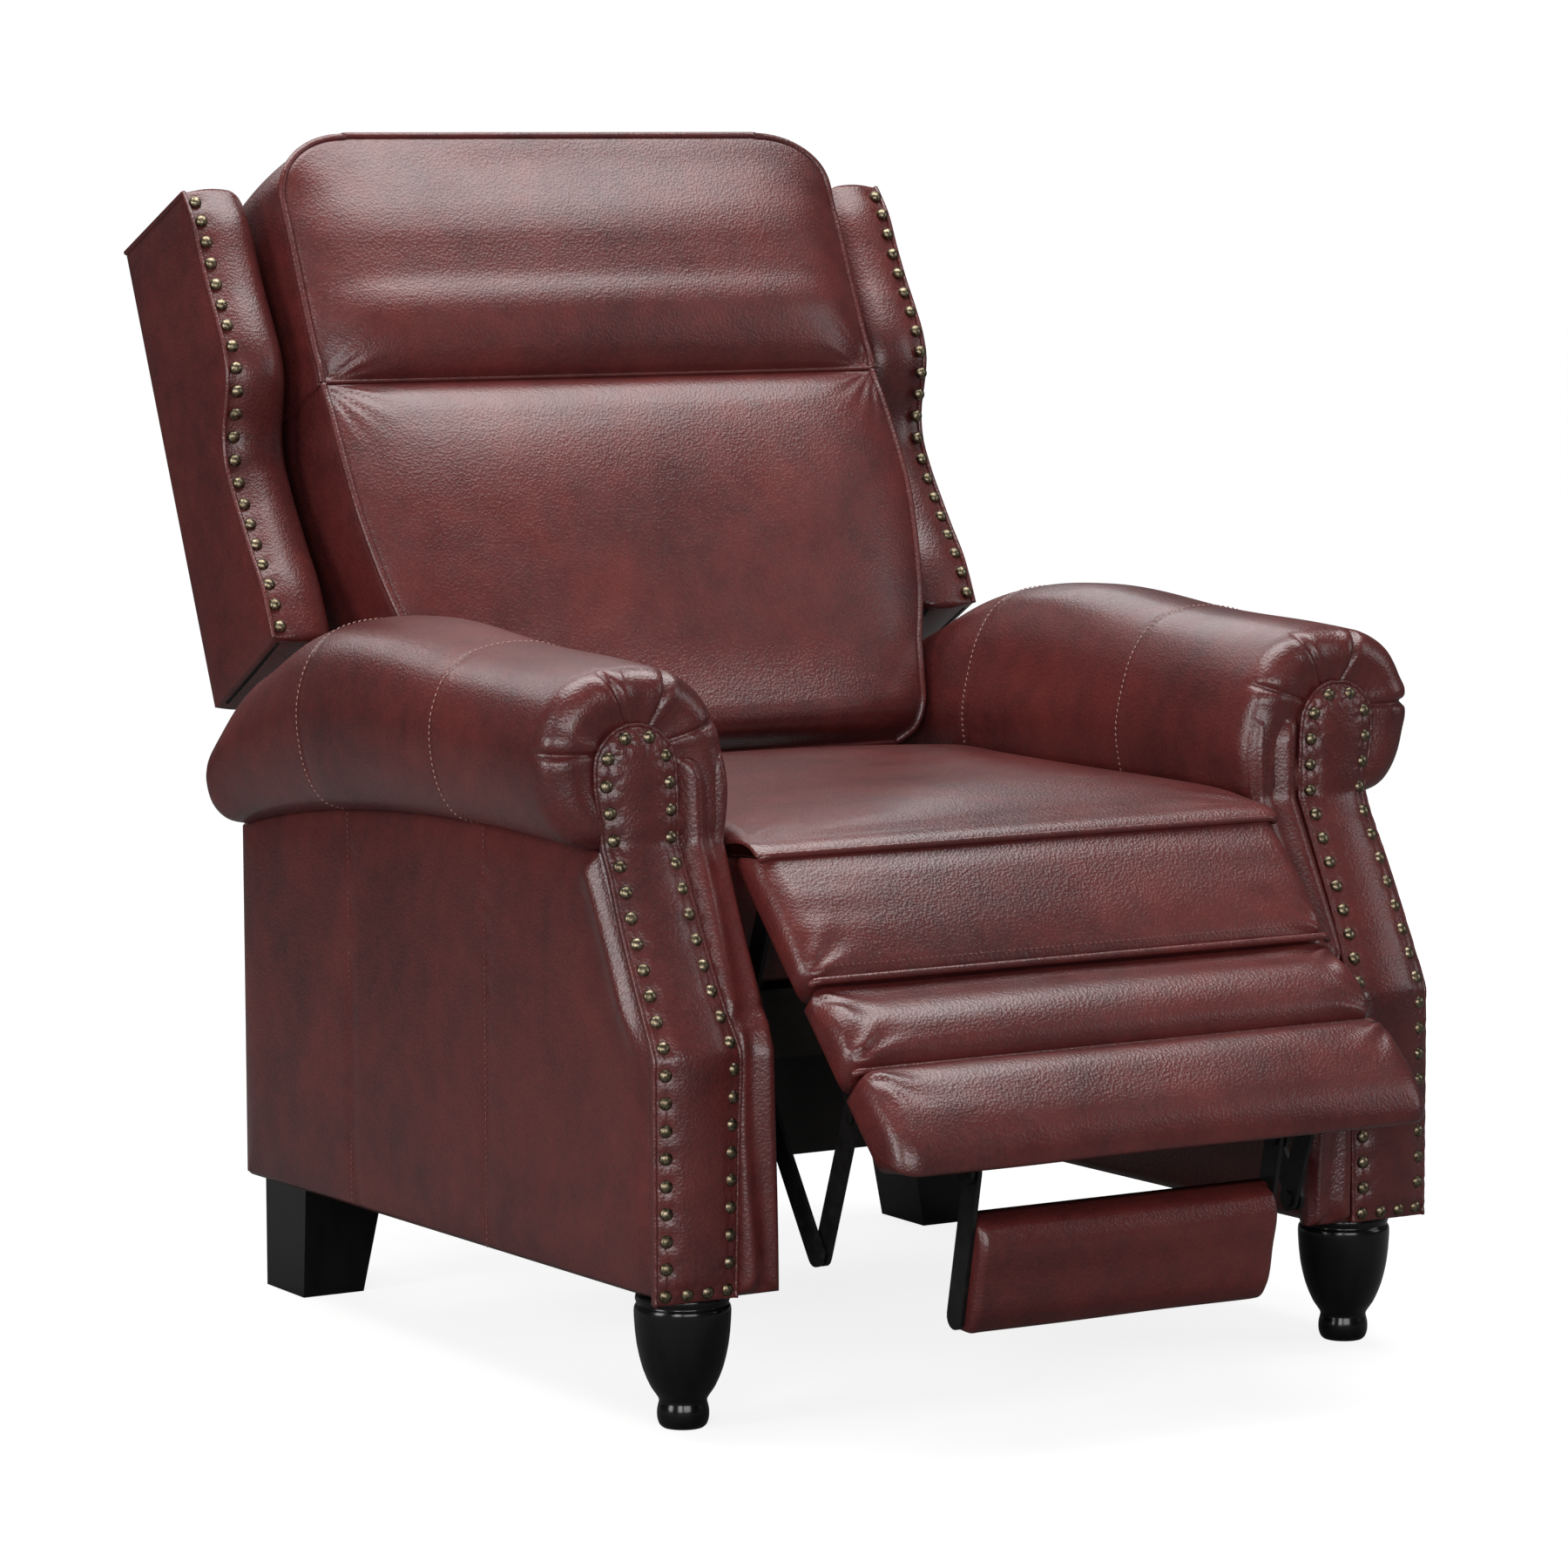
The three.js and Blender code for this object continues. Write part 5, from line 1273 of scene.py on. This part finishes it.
class RECLINER_OT_rear(bpy.types.Operator):
    """Build the leather cover behind the back and the black cloth under the wings"""
    bl_idname = "recliner.rear"
    bl_label = "Rear Cover"

    def execute(self, context):
        waves = sizes().rumple
        low_u, high_u, corner = -161.0, 469.0, 34.0

        def outline(i, j):
            u = low_u + (high_u - low_u) * i
            past = np.clip((u - (high_u - corner)) / corner, 0, 1)
            half = 260 + 47.5 * smooth((u + 40) / 50)
            half = half - corner * 0.8 * (1 - np.sqrt(np.maximum(0, 1 - past ** 2)))
            return half * (2 * j - 1), u

        def relief(x, u, d, face):
            return 0 if face else waves * 1.2 * rumple(back(x, u, 0), 0.14, 6) * smooth(d / 30)

        seams = pad("rear_cover_leather", "back", ["back_rear_cover"], outline, lambda x, u, w: back(x, u, -w),
                    level(5.0), level(-9.5), rows=60, cols=48, crown=(7, 0), soft=(45, 1), rounds=(4, 0),
                    relief=relief, steps=6, fill=0.5)
        welt("rear_cover_welt", seams[0], "back", sizes().welt_radius * 1000 * 0.8, closed=True)

        def build(name, side, word):
            low_w, high_w, drop = 6, 134, 1.0
            x, w = np.meshgrid(np.linspace(WING_INNER + 9, WING_OUTER - 9, 8), np.linspace(low_w, high_w, 12),
                               indexing="ij")
            across, along = (x - x.min()) / np.ptp(x), (w - low_w) / (high_w - low_w)
            u = wing_foot(w) - drop - np.sin(math.pi * across) * np.sin(math.pi * along)
            points = np.concatenate([back(side * x, u - deep, w).reshape(-1, 3) for deep in (0, drop)])
            rim = [int(r * x.shape[1] + s) for r, s in border(*x.shape)]
            faces = two_sheets(*x.shape) + bands_between([rim, [v + x.size for v in rim]])
            cloth = new_object(name, points, faces)
            finish_piece(cloth, LOOKS["cloth"], "back", [f"wing_underside_{word}"])

        both_sides("wing_underside_cloth", build)
        return {"FINISHED"}


SOFTBOXES = (("top_softbox", (0.1, 0.25, 3.1), 3.2, 1.8, 128, (1, 0.99, 0.98)),
             ("rear_softbox", (0.3, 2.7, 2.4), 3.6, 1.2, 34, (1, 1, 1)),
             ("left_softbox", (-3.9, -0.5, 1.35), 1.2, 1.8, 66, (1, 0.99, 0.98)),
             ("corner_softbox", (-3.1, -3.4, 1.5), 1.2, 1.8, 72, (1, 0.99, 0.98)),
             ("right_softbox", (3.4, -2.4, 1.9), 1.2, 2.2, 24, (0.99, 0.99, 1)),
             ("front_softbox", (-1.2, -4.8, 1.4), 2.4, 1.4, 78, (1, 1, 1)))
# Azimuth, elevation and roll in degrees, and the place the camera looks at, from a fit to the photograph
CAMERA_TURN = (-30.839, 6.246, -0.217)
CAMERA_LENS, CAMERA_DISTANCE = 131.3, 5.231387
CAMERA_AIM = (0, -75.432, 481.062)


class RECLINER_OT_studio(bpy.types.Operator):
    """Set the white floor, the soft lights and the camera of the photograph"""
    bl_idname = "recliner.studio"
    bl_label = "Studio"

    def execute(self, context):
        scene = context.scene
        reach = 24.0
        mesh = bpy.data.meshes.new("floor")
        corners = [(x * reach, y * reach, 0) for x, y in ((-1, -1), (1, -1), (1, 1), (-1, 1))]
        mesh.from_pydata(corners, [], [(0, 1, 2, 3)])
        mesh.materials.append(floor_look())
        linked("floor", mesh)
        world = bpy.data.worlds.new("studio")
        world.use_nodes = True
        sky = world.node_tree.nodes["Background"]
        sky.inputs["Color"].default_value = (0.98, 0.99, 1.0, 1)
        (shown_white(world.node_tree) + 0.05).into(sky.inputs["Strength"])
        scene.world = world
        for name, place, width, height, power, colour in SOFTBOXES:
            light = bpy.data.lights.new(name, "AREA")
            light.shape = "RECTANGLE"
            light.size, light.size_y = width, height
            light.energy = power
            light.color = colour
            lamp = linked(name, light)
            lamp.location = place
            lamp.rotation_euler = (Vector((0, 0, 0.5)) - Vector(place)).to_track_quat("-Z", "Y").to_euler()
        scene.view_settings.view_transform = "Standard"
        camera = bpy.data.cameras.new("camera")
        camera.sensor_width = 36
        camera.lens = CAMERA_LENS
        camera.clip_start, camera.clip_end = 0.1, 60
        eye = linked("camera", camera)
        azimuth, elevation, roll = (math.radians(v) for v in CAMERA_TURN)
        out = np.array((math.sin(azimuth) * math.cos(elevation), -math.cos(azimuth) * math.cos(elevation),
                        math.sin(elevation)))
        right = np.array((math.cos(azimuth), math.sin(azimuth), 0.0))
        up = np.cross(out, right)
        c, s = math.cos(roll), math.sin(roll)
        axes = np.stack([right * c + up * s, up * c - right * s, out], -1)
        place = chair(*CAMERA_AIM) + out * CAMERA_DISTANCE
        eye.matrix_world = Matrix([[*axes[k], place[k]] for k in range(3)] + [[0, 0, 0, 1]])
        scene.camera = eye
        return {"FINISHED"}


STEPS = ["cad_finishes", "front_legs", "back_cushions", "wings", "arm_sides", "arm_rolls", "arm_fronts",
         "seat", "footrest", "rear", "studio"]


class RECLINER_PT_panel(bpy.types.Panel):
    """Sizes of the trim and a button for each group of pieces"""
    bl_label = "Recliner"
    bl_idname = "RECLINER_PT_panel"
    bl_space_type = "VIEW_3D"
    bl_region_type = "UI"
    bl_category = "Recliner"

    def draw(self, context):
        for key in ("welt_radius", "nail_size", "nail_pitch", "crown", "rumple"):
            self.layout.prop(context.scene.recliner_sizes, key)
        for step in STEPS:
            self.layout.operator("recliner." + step)


CLASSES = [ReclinerSizes, RECLINER_OT_cad_finishes, RECLINER_OT_front_legs, RECLINER_OT_back_cushions,
           RECLINER_OT_wings, RECLINER_OT_arm_sides, RECLINER_OT_arm_rolls, RECLINER_OT_arm_fronts,
           RECLINER_OT_seat, RECLINER_OT_footrest, RECLINER_OT_rear, RECLINER_OT_studio, RECLINER_PT_panel]


def register():
    for item in CLASSES:
        bpy.utils.register_class(item)
    bpy.types.Scene.recliner_sizes = bpy.props.PointerProperty(type=ReclinerSizes)


def unregister():
    del bpy.types.Scene.recliner_sizes
    for item in reversed(CLASSES):
        bpy.utils.unregister_class(item)


def main():
    register()
    make_looks()
    for step in STEPS:
        getattr(bpy.ops.recliner, step)()


if __name__ == "__main__":
    main()
